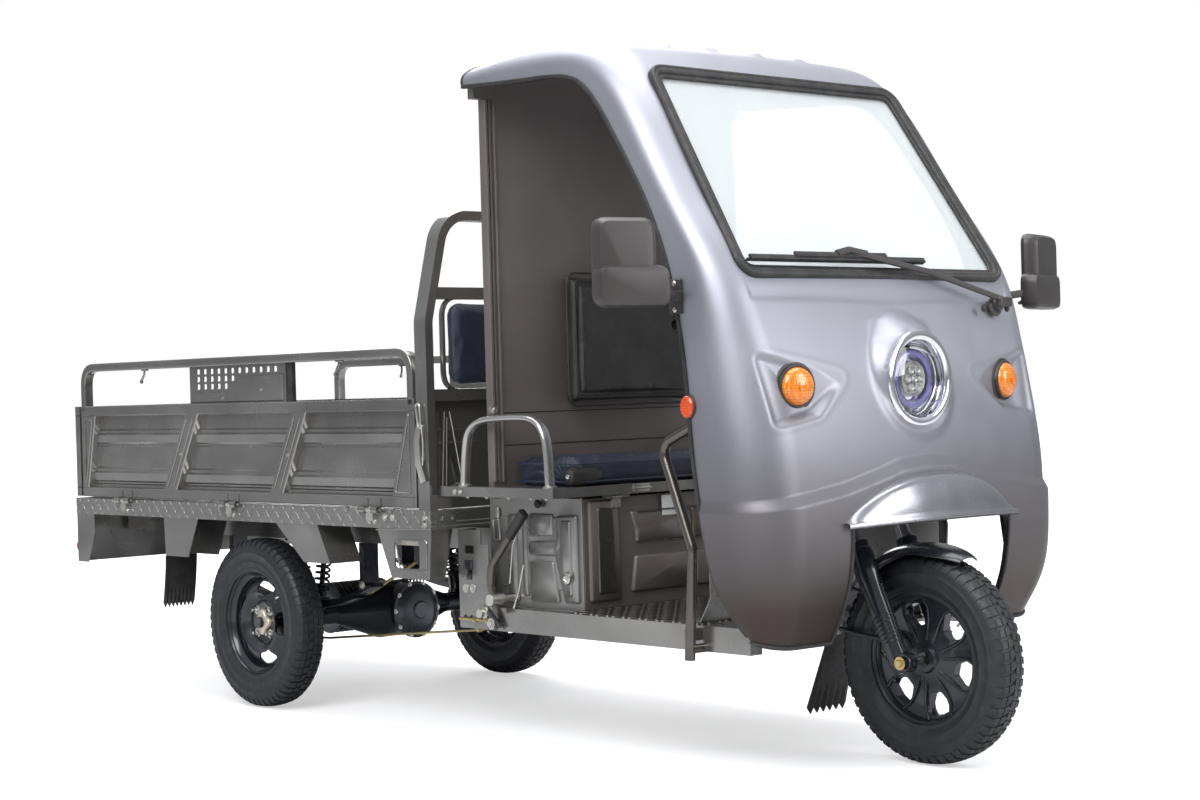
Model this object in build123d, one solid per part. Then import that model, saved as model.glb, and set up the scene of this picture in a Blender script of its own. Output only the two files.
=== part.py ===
"""Electric cargo tricycle with an open-sided cab and a drop-side bed.

Axes: +X forward, +Y to the vehicle's left, +Z up, in millimetres. Everything is
drawn from the rear axle (x = 0) and the ground (z = 0), then moved along X so that
the origin ends up on the ground, midway between the rearmost and foremost points.
"""
import os
from math import cos, hypot, radians, sin

from build123d import *

# ---------------------------------------------------------------- driving sizes
WHEELBASE = 2183.0
TRACK = 930.0
TYRE_R = 254.0            # 3.75-12 tyre
TYRE_W = 102.0
RIM_R = 166.0             # flange of the 12 inch rim
RIM_W = 74.0
HUB_R = 58.0

BED_HALF = 527.0          # bed half width
BED_REAR = -1022.0        # rear face of the bed floor
BED_FRONT = 905.0         # front face of the head posts
BED_TOP = 612.0           # top of the bed's edge strip
BED_EDGE = 52.0           # height of the edge strip
DECK_T = 2.0              # floor sheet laid on the bed
SHEET = 2.5               # pressed steel sheet
POST = 50.0               # head posts, along the vehicle
POST_D = 26.0             # head posts, across it
HOOP_TOP = 1411.0
SIDE_H = 297.0            # height of the side boards
SIDE_T = 48.0             # room kept for the side boards at the bed's end
SIDE_D = 32.0             # depth of a board's top and bottom rails
SIDE_GAP = 6.0            # running gap round every board
RAIL_RISE = 140.0         # top rail above the board
RAIL_D = 26.0             # depth of the rail tube
HINGE_R = 6.0             # hinge knuckle
HINGE_OUT = 9.0           # hinge line outside the bed face

SILL_LOW = 292.0          # bottom of the lower frame rails
SILL_H = 62.0
SILL_HALF = 440.0         # half width over the sills
SILL_W = 40.0
FRAME_TOP = 556.0         # top of the upper frame rails
RAIL_H = 60.0
RAIL_W = 40.0
RAIL_Y = 330.0            # upper rails, centreline

BOX_REAR = 985.0          # battery box
BOX_FRONT = 1362.0
BOX_HALF = 385.0
BOX_TOP = 645.0
BOX_T = 3.0

SEAT_HALF = 505.0         # outside of the seat's side rails
SEAT_FRONT = 1385.0
SEAT_REAR = 925.0         # rear end of the seat's side rails
SEAT_T = 26.0
CUSHION_HALF = 420.0
CUSHION_H = 72.0
GRAB_RISE = 172.0         # grab rail above the seat frame

CAB_HALF = 565.0          # widest half width of the cab moulding
CAB_T = 5.0               # moulding thickness
CHIN_PROUD = 10.0         # chin panel ahead of the nose above it
ARCH_TOP = 609.0          # opening over the front wheel
ARCH_HALF = 292.0
ARCH_R = 60.0
GLASS_LOW = (2058.0, 1179.0)      # bottom and top of the screen opening, x and z
GLASS_HIGH = (1713.0, 1712.0)
GLASS_LOW_HALF = 490.0
GLASS_HIGH_HALF = 455.0
GLASS_R = 55.0
SEAL_W = 24.0
SEAL_OUT = 7.0
SEAL_IN = 16.0
WALL_X = 1105.0           # front face of the cab's back wall
WALL_HALF = 465.0
WALL_T = 24.0
WALL_TOP = 1716.0         # where the back wall widens under the roof
BACKREST_LOW = 876.0
BACKREST_TOP = 1251.0
BACKREST_HALF = 240.0
RIB_PROUD = 6.0           # ribs pressed in the roof
SHIELD_X = 1866.0         # leg shield
SHIELD_HALF = 430.0
SHIELD_T = 3.0
DASH_Z = 930.0
CROSS_FRONT = SHIELD_X - 31  # front face of the foremost cross member

LAMP_X = 2160.0           # face of the headlamp
LAMP_Z = 932.0
LAMP_R = 104.0
COLLAR_R = 155.0          # foot of the swelling round the headlamp
INDICATOR_Y = 388.0
INDICATOR_Z = 922.0
INDICATOR_R = 27.0
MARKER_X = 1948.0
MARKER_Z = 881.0
MIRROR_X = 1962.0
MIRROR_Y = 756.0
MIRROR_Z = 1213.0
MIRROR_W = 172.0
MIRROR_H = 190.0
TAIL_LAMP_OUT = 64.0

RAKE = 24.0               # steering head angle from the vertical
AXLE_LEAD = 60.0          # front axle ahead of the steering axis
YOKE_LEAD = 40.0          # fork tubes ahead of the steering axis
YOKE_LOW = 690.0
YOKE_HIGH = 905.0
SLIDER_TOP = 520.0
FORK_HALF = 92.0          # fork legs, centre to centreline
FORK_R = 17.0             # chrome tube radius
SLIDER_R = 25.0
STEM_R = 14.0
HEAD_R = 26.0
HEAD_POST = 50.0
BAR_Z = 1085.0
BAR_HALF = 335.0
BAR_R = 11.0
AXLE_R = 9.0              # front spindle
STUB_R = 17.0             # rear half shaft
FENDER_R = 274.0
FENDER_T = 3.0
FENDER_HALF = 58.0

LEAF = 14.0               # half length of a hinge's moving knuckle
FIXED_LEAF = LEAF + 1.5   # half length of its fixed one
LEAF_STEP = 30.0          # pitch of the knuckles

RUN_FIT = 0.4             # radial gap of a turning piece on its shaft
SEAT_FIT = 0.3            # gap where a piece is seated on another

SIDE_LOW = BED_TOP + SIDE_GAP
SIDE_TOP = SIDE_LOW + SIDE_H
RAIL_TOP = SIDE_TOP + RAIL_RISE
HINGE_Z = BED_TOP - 2.0
BED_LOW = BED_TOP - BED_EDGE
SILL_TOP = SILL_LOW + SILL_H
RAIL_REAR = BED_REAR + 30
RAIL_FRONT = BOX_REAR - 20
RAIL_LOW = FRAME_TOP - RAIL_H
SILL_FRONT = SHIELD_X + 137
FRONT_REACH = WHEELBASE + TYRE_R
REAR_REACH = TAIL_LAMP_OUT - BED_REAR
X_MID = (FRONT_REACH - REAR_REACH) / 2
SIDES = (-1, 1)

parts = {}


def keep(name, *shapes):
    """Adds solids to a node."""
    parts.setdefault(name, []).extend(shapes)


def block(x0, x1, y0, y1, z0, z1):
    """A plain bar between two corners."""
    middle = Pos((x0 + x1) / 2, (y0 + y1) / 2, (z0 + z1) / 2)
    return middle * Box(abs(x1 - x0), abs(y1 - y0), abs(z1 - z0))


def rod(a, b, r):
    """A round bar from a to b."""
    a, b = Vector(*a), Vector(*b)
    axis = b - a
    base = (Align.CENTER, Align.CENTER, Align.MIN)
    return Plane(origin=a, z_dir=axis) * Cylinder(r, axis.length, align=base)


def swept(points, bends, section, x_dir=None):
    """A tube, drawn solid, that follows a line with rounded bends."""
    path = FilletPolyline(*points, radius=bends)
    plane = Plane(origin=path @ 0, z_dir=path % 0, x_dir=x_dir)
    return sweep(plane * section, path=path)


def profile_xz(points, y0, y1):
    """A closed outline in X and Z, drawn out between two Y values."""
    face = make_face(Polyline(*points, close=True))
    plane = Plane(origin=(0, max(y0, y1), 0), x_dir=(1, 0, 0), z_dir=(0, -1, 0))
    return extrude(plane * face, amount=abs(y1 - y0))


def profile_yz(points, x0, x1):
    """A closed outline in Y and Z, drawn out between two X values."""
    face = make_face(Polyline(*points, close=True))
    plane = Plane(origin=(x0, 0, 0), x_dir=(0, 1, 0), z_dir=(1, 0, 0))
    return extrude(plane * face, amount=x1 - x0)


def turned(points):
    """A closed outline of (radius, y) points, turned about the Y axis."""
    return revolve(make_face(Polyline(*points, close=True)), Axis.Y)


def arc_strip(cx, cz, r0, r1, a0, a1, y0, y1):
    """Part of a flat ring in the XZ plane, drawn out between two Y values."""
    middle = (a0 + a1) / 2

    def spot(r, a):
        return (cx + r * cos(radians(a)), cz + r * sin(radians(a)))

    outer = ThreePointArc(spot(r1, a0), spot(r1, middle), spot(r1, a1))
    inner = ThreePointArc(spot(r0, a1), spot(r0, middle), spot(r0, a0))
    ends = [Line(outer @ 1, inner @ 0), Line(inner @ 1, outer @ 0)]
    plane = Plane(origin=(0, y1, 0), x_dir=(1, 0, 0), z_dir=(0, -1, 0))
    return extrude(plane * make_face([outer, inner, *ends]), amount=y1 - y0)


class Curve:
    """A natural cubic spline through (x, y) pairs."""

    def __init__(self, xs, ys):
        n = len(xs)
        self.xs, self.ys = xs, ys
        self.h = [xs[i + 1] - xs[i] for i in range(n - 1)]
        diag, upper, rhs = [1.0] * n, [0.0] * n, [0.0] * n
        for i in range(1, n - 1):
            low, high = self.h[i - 1], self.h[i]
            slope = (ys[i + 1] - ys[i]) / high - (ys[i] - ys[i - 1]) / low
            w = low / diag[i - 1]
            diag[i] = 2 * (low + high) - w * upper[i - 1]
            upper[i] = high
            rhs[i] = 6 * slope - w * rhs[i - 1]
        self.m = [0.0] * n
        for i in range(n - 2, 0, -1):
            self.m[i] = (rhs[i] - upper[i] * self.m[i + 1]) / diag[i]

    def __call__(self, x):
        i = 0
        while i < len(self.h) - 1 and x > self.xs[i + 1]:
            i += 1
        h = self.h[i]
        a, b = (self.xs[i + 1] - x) / h, (x - self.xs[i]) / h
        bend = (a**3 - a) * self.m[i] + (b**3 - b) * self.m[i + 1]
        return a * self.ys[i] + b * self.ys[i + 1] + bend * h * h / 6


# ------------------------------------------------------------------ cab moulding
# One row per station from the chin to the roof's rear lip: centreline x and z, door
# edge x and z, half width, corner's size across and along the section, crown.
STATIONS = [
    (2105, 318, 2062, 332, 490, 80, 34, 4),
    (2164, 430, 2012, 440, 540, 105, 98, 9),
    (2190, 585, 1976, 600, 558, 125, 122, 14),
    (2186, 740, 1958, 755, 565, 130, 130, 16),
    (2156, 900, 1944, 925, 565, 125, 124, 16),
    (2111, 1050, 1924, 1065, 564, 105, 102, 12),
    (2062, 1180, 1893, 1190, 562, 90, 80, 8),
    (1945, 1362, 1818, 1360, 556, 88, 70, 6),
    (1828, 1542, 1712, 1520, 548, 88, 68, 6),
    (1718, 1702, 1604, 1655, 540, 100, 72, 6),
    (1640, 1770, 1545, 1694, 535, 112, 74, 7),
    (1520, 1808, 1455, 1712, 530, 120, 74, 7),
    (1400, 1818, 1350, 1717, 528, 124, 74, 7),
    (1250, 1815, 1215, 1723, 525, 124, 66, 7),
    (1088, 1800, 1085, 1731, 522, 120, 50, 6),
]
NOSE_X = max(row[0] for row in STATIONS)
reach = [0.0]
for one, two in zip(STATIONS, STATIONS[1:]):
    reach.append(reach[-1] + hypot(two[0] - one[0], two[1] - one[1]))
CAB = [Curve(reach, list(column)) for column in zip(*STATIONS)]
CAB_WIDEST = max(row[4] for row in STATIONS)
PULL = 0.55               # handle length that makes a corner nearly round


def cab_section(along, inset=0.0, deeper=0.0, proud=0.0):
    """Edges across the moulding at a distance along its centreline.

    A crowned front, a corner each side and a straight cheek back to the door edge.
    """
    fx, fz, ex, ez, half, corner, back, crown = [c(along) for c in CAB]
    depth = hypot(ex - fx, ez - fz)
    ux, uz = (ex - fx) / depth, (ez - fz) / depth
    half = half * CAB_HALF / CAB_WIDEST - inset + 0.3 * proud
    corner = max(corner - inset, 8)
    turn = crown + max(back - inset, 8)
    flat = half - corner
    lean = 2 * crown / flat

    def at(u, v):
        return (fx + ux * (u + inset), v, fz + uz * (u + inset))

    def bend(s):
        start = at(crown - proud, s * flat)
        leave = at(crown - proud + lean * corner * PULL, s * (flat + corner * PULL))
        arrive = at(turn - (turn - crown) * PULL, s * half)
        return [start, leave, arrive, at(turn, s * half)]

    third = -crown / 3 - proud
    front = Bezier(bend(-1)[0], at(third, -flat / 3), at(third, flat / 3), bend(1)[0])
    end = depth + deeper - inset
    cheeks = [Line(at(end, -half), at(turn, -half)), Line(at(turn, half), at(end, half))]
    right, left = Bezier(*reversed(bend(-1))), Bezier(*bend(1))
    return [cheeks[0], right, front, left, cheeks[1], Line(at(end, half), at(end, -half))]


def cab_solid(inset=0.0, deeper=0.0, over=0.0, proud=0.0, steps=20):
    """The moulding's outside, filled back to the door edge."""
    length = reach[-1] + 2 * over
    wires = []
    for i in range(steps):
        along = -over + length * i / (steps - 1)
        wires.append(Wire(cab_section(along, inset, deeper, proud)))
    return Solid.make_loft(wires, ruled=True)


# Top edge of the chin panel: distance from the centreline and height.
CHIN_LINE = [(140, 745), (300, 686), (620, 648)]
CHIN_BEND = 110.0
# Recess round each indicator: outline across and up, and the lie of its floor.
RECESS = [(502, 1002), (486, 829), (345, 856), (226, 950)]
RECESS_FLOOR = 2151.0
RECESS_TURN = 11.0


def chin_region(drop):
    """Everything in front of the dash and below the chin panel's top edge."""
    line = [(y, z - drop) for y, z in CHIN_LINE]
    line = [(-y, z) for y, z in reversed(line)] + line
    top = FilletPolyline(*line, radius=CHIN_BEND)
    rest = Polyline(top @ 1, (line[-1][0], 0), (line[0][0], 0), top @ 0)
    plane = Plane(origin=(SHIELD_X, 0, 0), x_dir=(0, 1, 0), z_dir=(1, 0, 0))
    return extrude(plane * make_face([top, rest]), amount=FRONT_REACH - SHIELD_X)


def recess(side, grow):
    """The pocket round an indicator, made larger by a wall's thickness."""
    face = make_face(Polyline(*[(side * y, z) for y, z in RECESS], close=True))
    face = fillet(face.vertices(), 13)
    if grow:
        face = offset(face, grow)
    pivot = (RECESS_FLOOR - grow, side * RECESS[-1][0], 0)
    turn = Pos(*pivot) * Rot(0, 0, side * RECESS_TURN) * Pos(0, -pivot[1], 0)
    plane = Plane(origin=(0, 0, 0), x_dir=(0, 1, 0), z_dir=(1, 0, 0))
    return turn * extrude(plane * face, amount=160)


def collar(grow):
    """The swelling round the headlamp."""
    base = Plane(origin=(LAMP_X - 62, 0, LAMP_Z), z_dir=(1, 0, 0))
    align = (Align.CENTER, Align.CENTER, Align.MIN)
    return base * Cone(COLLAR_R + 8 - grow, LAMP_R + 14 - grow, 70 - grow, align=align)


GLASS_DX = GLASS_HIGH[0] - GLASS_LOW[0]
GLASS_DZ = GLASS_HIGH[1] - GLASS_LOW[1]
GLASS_PLANE = Plane(
    origin=((GLASS_HIGH[0] + GLASS_LOW[0]) / 2, 0, (GLASS_HIGH[1] + GLASS_LOW[1]) / 2),
    x_dir=(0, 1, 0),
    z_dir=(GLASS_DZ, 0, -GLASS_DX),
)


def screen_outline(inset):
    """The screen opening, moved inwards, in the plane of the glass."""
    top = (hypot(GLASS_DX, GLASS_DZ) / 2 - inset) * (1 if GLASS_PLANE.y_dir.Z > 0 else -1)
    low = GLASS_LOW_HALF - inset
    high = GLASS_HIGH_HALF - inset
    edge = Polyline((-low, -top), (low, -top), (high, top), (-high, top), close=True)
    return fillet(make_face(edge).vertices(), GLASS_R - inset)


outside = cab_solid()
outside += cab_solid(proud=CHIN_PROUD) & chin_region(0)
outside += collar(0)
grown = cab_solid(-RIB_PROUD)
for y in (-250, -85, 85, 250):
    rib = extrude(SlotOverall(430, 46), amount=130)
    outside += Pos(WALL_X + 270, y, WALL_TOP + 24) * rib & grown
hollow = cab_solid(CAB_T, 30, 25, steps=12)
hollow += cab_solid(CAB_T, 30, 25, CHIN_PROUD, steps=12) & chin_region(CAB_T)
hollow += collar(CAB_T)
for side in SIDES:
    outside -= recess(side, 0)
    hollow -= recess(side, CAB_T)
shell = outside - hollow
arch = block(SHIELD_X, FRONT_REACH, -ARCH_HALF, ARCH_HALF, 0, ARCH_TOP)
shell -= fillet(arch.edges().filter_by(Axis.X).group_by(Axis.Z)[-1], ARCH_R)
shell -= extrude(GLASS_PLANE * screen_outline(0), amount=60, both=True)
lamp_hole = LAMP_R + 6 + SEAT_FIT
shell -= rod((LAMP_X - 120, 0, LAMP_Z), (LAMP_X + 80, 0, LAMP_Z), lamp_hole)
keep("cab_shell", *shell.solids())

gasket = extrude(GLASS_PLANE * screen_outline(SEAT_FIT), amount=SEAL_OUT)
gasket += extrude(GLASS_PLANE * screen_outline(SEAT_FIT), amount=-SEAL_IN)
gasket -= extrude(GLASS_PLANE * screen_outline(SEAL_W), amount=60, both=True)
keep("windscreen_seal", gasket)
pane = GLASS_PLANE.offset(-9) * screen_outline(SEAL_W + SEAT_FIT)
keep("windscreen", extrude(pane, amount=5))

WALL_LOW = BOX_TOP + 2 * SEAT_FIT
WALL_HEAD = 500.0
wall = block(WALL_X - WALL_T, WALL_X, -WALL_HALF, WALL_HALF, WALL_LOW, WALL_TOP)
roof_end = block(WALL_X - WALL_T, WALL_X, -WALL_HEAD, WALL_HEAD, WALL_TOP - 16, WALL_TOP + 114)
wall += roof_end & cab_solid(CAB_T + SEAT_FIT, 60, 25, steps=12)
keep("cab_rear_wall", wall)

BEZEL = 6.0
DISH_R = LAMP_R - 8
dish = rod((LAMP_X - 84, 0, LAMP_Z), (LAMP_X, 0, LAMP_Z), LAMP_R - 4)
dish += rod((LAMP_X - 50, 0, LAMP_Z), (LAMP_X + 14, 0, LAMP_Z), LAMP_R + BEZEL)
mouth = Plane(origin=(LAMP_X - 78, 0, LAMP_Z), z_dir=(1, 0, 0))
low_end = (Align.CENTER, Align.CENTER, Align.MIN)
dish -= mouth * Cone(LAMP_R - 60, DISH_R, 48, align=low_end)
dish -= rod((LAMP_X - 30, 0, LAMP_Z), (LAMP_X + 20, 0, LAMP_Z), DISH_R)
keep("headlamp", dish)
glass_r = DISH_R - SEAT_FIT
keep("headlamp_lens", rod((LAMP_X - 20, 0, LAMP_Z), (LAMP_X + 4, 0, LAMP_Z), glass_r))

# ------------------------------------------------------------- nose trim
VISOR_HALF = 318.0
VISOR_LIP = 12.0
visor_foot = Spline(
    (NOSE_X - 20, -VISOR_HALF, ARCH_TOP - 2),
    (NOSE_X + 6, -190, ARCH_TOP + 72),
    (NOSE_X + 12, 0, ARCH_TOP + 98),
    (NOSE_X + 6, 190, ARCH_TOP + 72),
    (NOSE_X - 20, VISOR_HALF, ARCH_TOP - 2),
)
visor_edge = Spline(
    (NOSE_X + 22, -VISOR_HALF, ARCH_TOP - 2),
    (NOSE_X + 58, -180, ARCH_TOP + 12),
    (NOSE_X + 72, 0, ARCH_TOP + 20),
    (NOSE_X + 58, 180, ARCH_TOP + 12),
    (NOSE_X + 22, VISOR_HALF, ARCH_TOP - 2),
)
skin = cab_solid(-SEAT_FIT, proud=CHIN_PROUD)
brow = Solid.thicken(Face.make_surface_from_curves(visor_foot, visor_edge), 4.0)
lip_edge = visor_edge.moved(Pos(0, 0, -VISOR_LIP))
brow += Solid.thicken(Face.make_surface_from_curves(visor_edge, lip_edge), 3.0)
keep("visor", brow - skin)

lamp_base = LAMP_X - 36
for side in SIDES:
    y = side * INDICATOR_Y
    lamp = rod((lamp_base - 20, y, INDICATOR_Z), (LAMP_X - 6, y, INDICATOR_Z), INDICATOR_R)
    pocket = recess(side, -SEAT_FIT)
    keep("indicators", lamp & pocket)
    marker = rod((MARKER_X, side * 530, MARKER_Z), (MARKER_X, side * 584, MARKER_Z), 22)
    keep("side_markers", marker - skin)

for side in SIDES:
    slab = RectangleRounded(MIRROR_W, MIRROR_H, 26)
    head = extrude(Plane.YZ * slab, amount=30, taper=14)
    head += extrude(Plane.YZ * slab, amount=-18, taper=4)
    head = Pos(MIRROR_X, side * MIRROR_Y, MIRROR_Z) * Rot(0, 0, side * 15) * head
    foot = block(1885, 1940, side * 540, side * 572, 1100, 1175) - skin
    stay = rod((1915, side * 566, 1140), (MIRROR_X, side * (MIRROR_Y - 50), 1150), 10)
    keep("mirrors", head + foot + stay)

# --------------------------------------------------------------------- steering
rake = radians(RAKE)
AXIS = Vector(-sin(rake), 0, cos(rake))
AHEAD = Vector(cos(rake), 0, sin(rake))
AXLE = Vector(WHEELBASE, 0, TYRE_R)
STEER_FOOT = AXLE - AHEAD * AXLE_LEAD


def on_steer(height, lead=0.0, side=0.0):
    """A point at a height on the steering axis, moved ahead of it and to a side."""
    along = (height - STEER_FOOT.Z) / AXIS.Z
    return STEER_FOOT + AXIS * along + AHEAD * lead + Vector(0, side, 0)


def across(centre, y0, y1, r):
    """A round bar along Y through a centre, between two offsets."""
    return rod(centre + Vector(0, y0, 0), centre + Vector(0, y1, 0), r)


def yoke(height, thick):
    """A fork yoke: a plate square to the steering axis that takes both tubes."""
    plane = Plane(origin=on_steer(height), x_dir=AHEAD, z_dir=AXIS)
    outline = SlotCenterToCenter(2 * FORK_HALF, 2 * FORK_R + 14, rotation=90)
    plate = plane * Pos(YOKE_LEAD, 0) * extrude(outline, amount=thick / 2, both=True)
    web = plane * Pos(YOKE_LEAD / 2 - 6, 0, 0) * Box(YOKE_LEAD + 40, 2 * HEAD_R, thick)
    return plate + web


fork = rod(on_steer(YOKE_LOW), on_steer(YOKE_HIGH), STEM_R)
fork += yoke(YOKE_LOW, 22) + yoke(YOKE_HIGH, 16)
for side in (-FORK_HALF, FORK_HALF):
    tube_low = on_steer(SLIDER_TOP, YOKE_LEAD, side)
    fork += rod(tube_low, on_steer(YOKE_HIGH + 20, YOKE_LEAD, side), FORK_R)
keep("fork", fork)

for side in (-FORK_HALF, FORK_HALF):
    foot = AXLE + AHEAD * (YOKE_LEAD - AXLE_LEAD) + Vector(0, side, 0)
    neck_low = on_steer(SLIDER_TOP - 40, YOKE_LEAD, side)
    neck_high = on_steer(SLIDER_TOP + 60, YOKE_LEAD, side)
    leg = rod(foot - AXIS * 12, on_steer(SLIDER_TOP, YOKE_LEAD, side), SLIDER_R)
    leg -= rod(neck_low, neck_high, FORK_R + SEAT_FIT)
    leg += across(AXLE, side - 14, side + 14, 22)
    leg -= across(AXLE, side - 40, side + 40, AXLE_R + SEAT_FIT)
    keep("fork_sliders", leg)
keep("front_axle", across(AXLE, -FORK_HALF - 24, FORK_HALF + 24, AXLE_R))

fender_out = FENDER_R + FENDER_T
fender = arc_strip(
    AXLE.X, AXLE.Z, FENDER_R, fender_out, 62, 172, -FENDER_HALF, FENDER_HALF
)
for side in SIDES:
    rim = sorted((side * (FENDER_HALF - FENDER_T), side * FENDER_HALF))
    fender += arc_strip(AXLE.X, AXLE.Z, FENDER_R - 16, fender_out, 62, 172, *rim)
    slider_face = FORK_HALF - SLIDER_R - SEAT_FIT
    tab = [on_steer(SLIDER_TOP - 46, YOKE_LEAD, side * y) for y in (FENDER_HALF - 2, slider_face)]
    fender += rod(*tab, 7)
keep("front_fender", fender)

bar_mid = on_steer(BAR_Z)
column = rod(on_steer(YOKE_HIGH + (8 + SEAT_FIT) * AXIS.Z), bar_mid, 16)
bar_line = [
    bar_mid + Vector(-70, -BAR_HALF, -12),
    bar_mid + Vector(0, -130, 0),
    bar_mid + Vector(0, 130, 0),
    bar_mid + Vector(-70, BAR_HALF, -12),
]
column += swept([tuple(p) for p in bar_line], 40, Circle(BAR_R))
for side in SIDES:
    grip_in = bar_mid + Vector(-32.4, side * 225, -5.6)
    grip_out = bar_mid + Vector(-69.7, side * (BAR_HALF - 1), -12)
    column += rod(grip_in, grip_out, 17)
keep("handlebar", column)
PANEL_T = 44.0
panel_low = on_steer(BAR_Z + (BAR_R + SEAT_FIT) * AXIS.Z)
panel_plane = Plane(origin=panel_low, x_dir=AHEAD, z_dir=AXIS)
keep("instrument_panel", panel_plane * extrude(RectangleRounded(90, 130, 16), PANEL_T))

# ----------------------------------------------------------------------- wheels


def tyre(x, centre_y):
    """A plain tyre: a tread, two shoulders and flat walls down to the rim."""
    wall = TYRE_W / 2
    half = [(RIM_R + SEAT_FIT, wall), (TYRE_R - 18, wall), (TYRE_R, wall - 15)]
    outline = half + [(r, -y) for r, y in reversed(half)]
    return Pos(x, centre_y, TYRE_R) * turned(outline)


def ring(r0, r1, y0, y1):
    """A plain ring about the wheel's own axis."""
    return turned([(r0, y0), (r1, y0), (r1, y1), (r0, y1)])


RIM_WALL = 9.0
WELL_R = RIM_R - RIM_WALL + 1     # where a disc or a spoke meets the rim


def rear_rim(side):
    """A pressed rear wheel: a dished disc with kidney slots round a hub."""
    wheel = ring(RIM_R - RIM_WALL, RIM_R, -RIM_W / 2, RIM_W / 2)
    front = [(HUB_R, 20), (82, 20), (98, 2), (WELL_R, 2)]
    back = [(WELL_R, 7), (100, 7), (84, 25), (HUB_R, 25)]
    disc = turned(front + back)
    hole = Plane.XZ * SlotArc(CenterArc((0, 0), 128, -20, 40), 24)
    for k in range(5):
        disc -= Rot(0, 72 * k, 0) * extrude(hole, amount=60, both=True)
    bore = STUB_R + RUN_FIT
    hub = [(bore, -34), (38, -34), (38, 20), (HUB_R + 1, 20), (HUB_R + 1, 25)]
    cap = [(31, 25), (31, 44), (0, 44), (0, 36), (bore, 36)]
    wheel += disc + turned(hub + cap)
    if side < 0:
        wheel = mirror(wheel, Plane.XZ)
    return Pos(0, side * TRACK / 2, TYRE_R) * wheel


def front_rim():
    """A cast front wheel with six tapered spokes."""
    wheel = ring(RIM_R - RIM_WALL, RIM_R, -RIM_W / 2, RIM_W / 2)
    bore = AXLE_R + RUN_FIT
    wheel += ring(bore, 27, -56, 56) + ring(bore, 46, -34, 34)
    out = Plane(origin=(40, 0, 0), z_dir=(1, 0, 0), x_dir=(0, 1, 0))
    spoke = extrude(out * Rectangle(34, 44), amount=WELL_R - 40, taper=4.2)
    for k in range(6):
        wheel += Rot(0, 60 * k + 30, 0) * spoke
    return Pos(WHEELBASE, 0, TYRE_R) * wheel


keep("rear_tyre_right", tyre(0, -TRACK / 2))
keep("rear_tyre_left", tyre(0, TRACK / 2))
keep("rear_rim_right", rear_rim(-1))
keep("rear_rim_left", rear_rim(1))
keep("front_tyre", tyre(WHEELBASE, 0))
keep("front_rim", front_rim())

# ---------------------------------------------------------------------- chassis
NECK_X = CROSS_FRONT - 55
NECK_HALF = HEAD_POST / 2
frame = None
for side in SIDES:
    y = side * RAIL_Y
    rail = block(RAIL_REAR, RAIL_FRONT, y - RAIL_W / 2, y + RAIL_W / 2, RAIL_LOW, FRAME_TOP)
    rail += block(RAIL_FRONT - 50, RAIL_FRONT, y - RAIL_W / 2, y + RAIL_W / 2, SILL_LOW, FRAME_TOP)
    sill_out, sill_in = side * SILL_HALF, side * (SILL_HALF - SILL_W)
    rail += block(RAIL_FRONT - 50, SILL_FRONT, sill_out, sill_in, SILL_LOW, SILL_TOP)
    frame = rail if frame is None else frame + rail
cross_at = (RAIL_FRONT - 50, BOX_REAR + 15, BOX_FRONT - 40, CROSS_FRONT - 50)
for x in cross_at:
    frame += block(x, x + 50, 5 - SILL_HALF, SILL_HALF - 5, SILL_LOW, SILL_TOP)
frame += block(RAIL_FRONT - 50, RAIL_FRONT, -RAIL_Y, RAIL_Y, RAIL_LOW, FRAME_TOP)
for share in (0.03, 0.28, 0.53, 0.75):
    x = RAIL_REAR + share * (RAIL_FRONT - RAIL_REAR)
    frame += block(x, x + 50, -RAIL_Y, RAIL_Y, RAIL_LOW + 6, FRAME_TOP - 6)
BEARERS = 6
BEARER_STEP = (BED_FRONT - BED_REAR - 160) / (BEARERS - 1)
for k in range(BEARERS):
    x = BED_REAR + 60 + k * BEARER_STEP
    top = BED_TOP - SHEET - SEAT_FIT
    bearer = [
        (-RAIL_Y - 20, FRAME_TOP - 1), (RAIL_Y + 20, FRAME_TOP - 1), (BED_HALF - 8, top - 22),
        (BED_HALF - 8, top), (8 - BED_HALF, top), (8 - BED_HALF, top - 22),
    ]
    frame += profile_yz(bearer, x, x + 40)
neck_foot = Vector(NECK_X, 0, SILL_LOW + 4)
neck = block(NECK_X - NECK_HALF, NECK_X + NECK_HALF, -NECK_HALF, NECK_HALF, neck_foot.Z, 840)
neck += rod((NECK_X, 0, 795), on_steer((YOKE_LOW + YOKE_HIGH) / 2), 20)
neck += rod(on_steer(YOKE_LOW + 18), on_steer(YOKE_HIGH - 16), HEAD_R)
neck -= rod(on_steer(YOKE_LOW), on_steer(YOKE_HIGH), STEM_R + RUN_FIT)
keep("frame", frame + neck)

floor = block(BED_REAR, BED_FRONT, -BED_HALF, BED_HALF, BED_LOW, BED_TOP)
inner_x = (BED_REAR + SHEET, BED_FRONT - SHEET)
floor -= block(*inner_x, SHEET - BED_HALF, BED_HALF - SHEET, BED_LOW - 1, BED_TOP - SHEET)
deck_half = BED_HALF - SIDE_D - 5
floor += block(BED_REAR + 37, BED_FRONT - POST - 5, -deck_half, deck_half, BED_TOP - 1, BED_TOP + DECK_T)
keep("bed_floor", floor)

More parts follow.
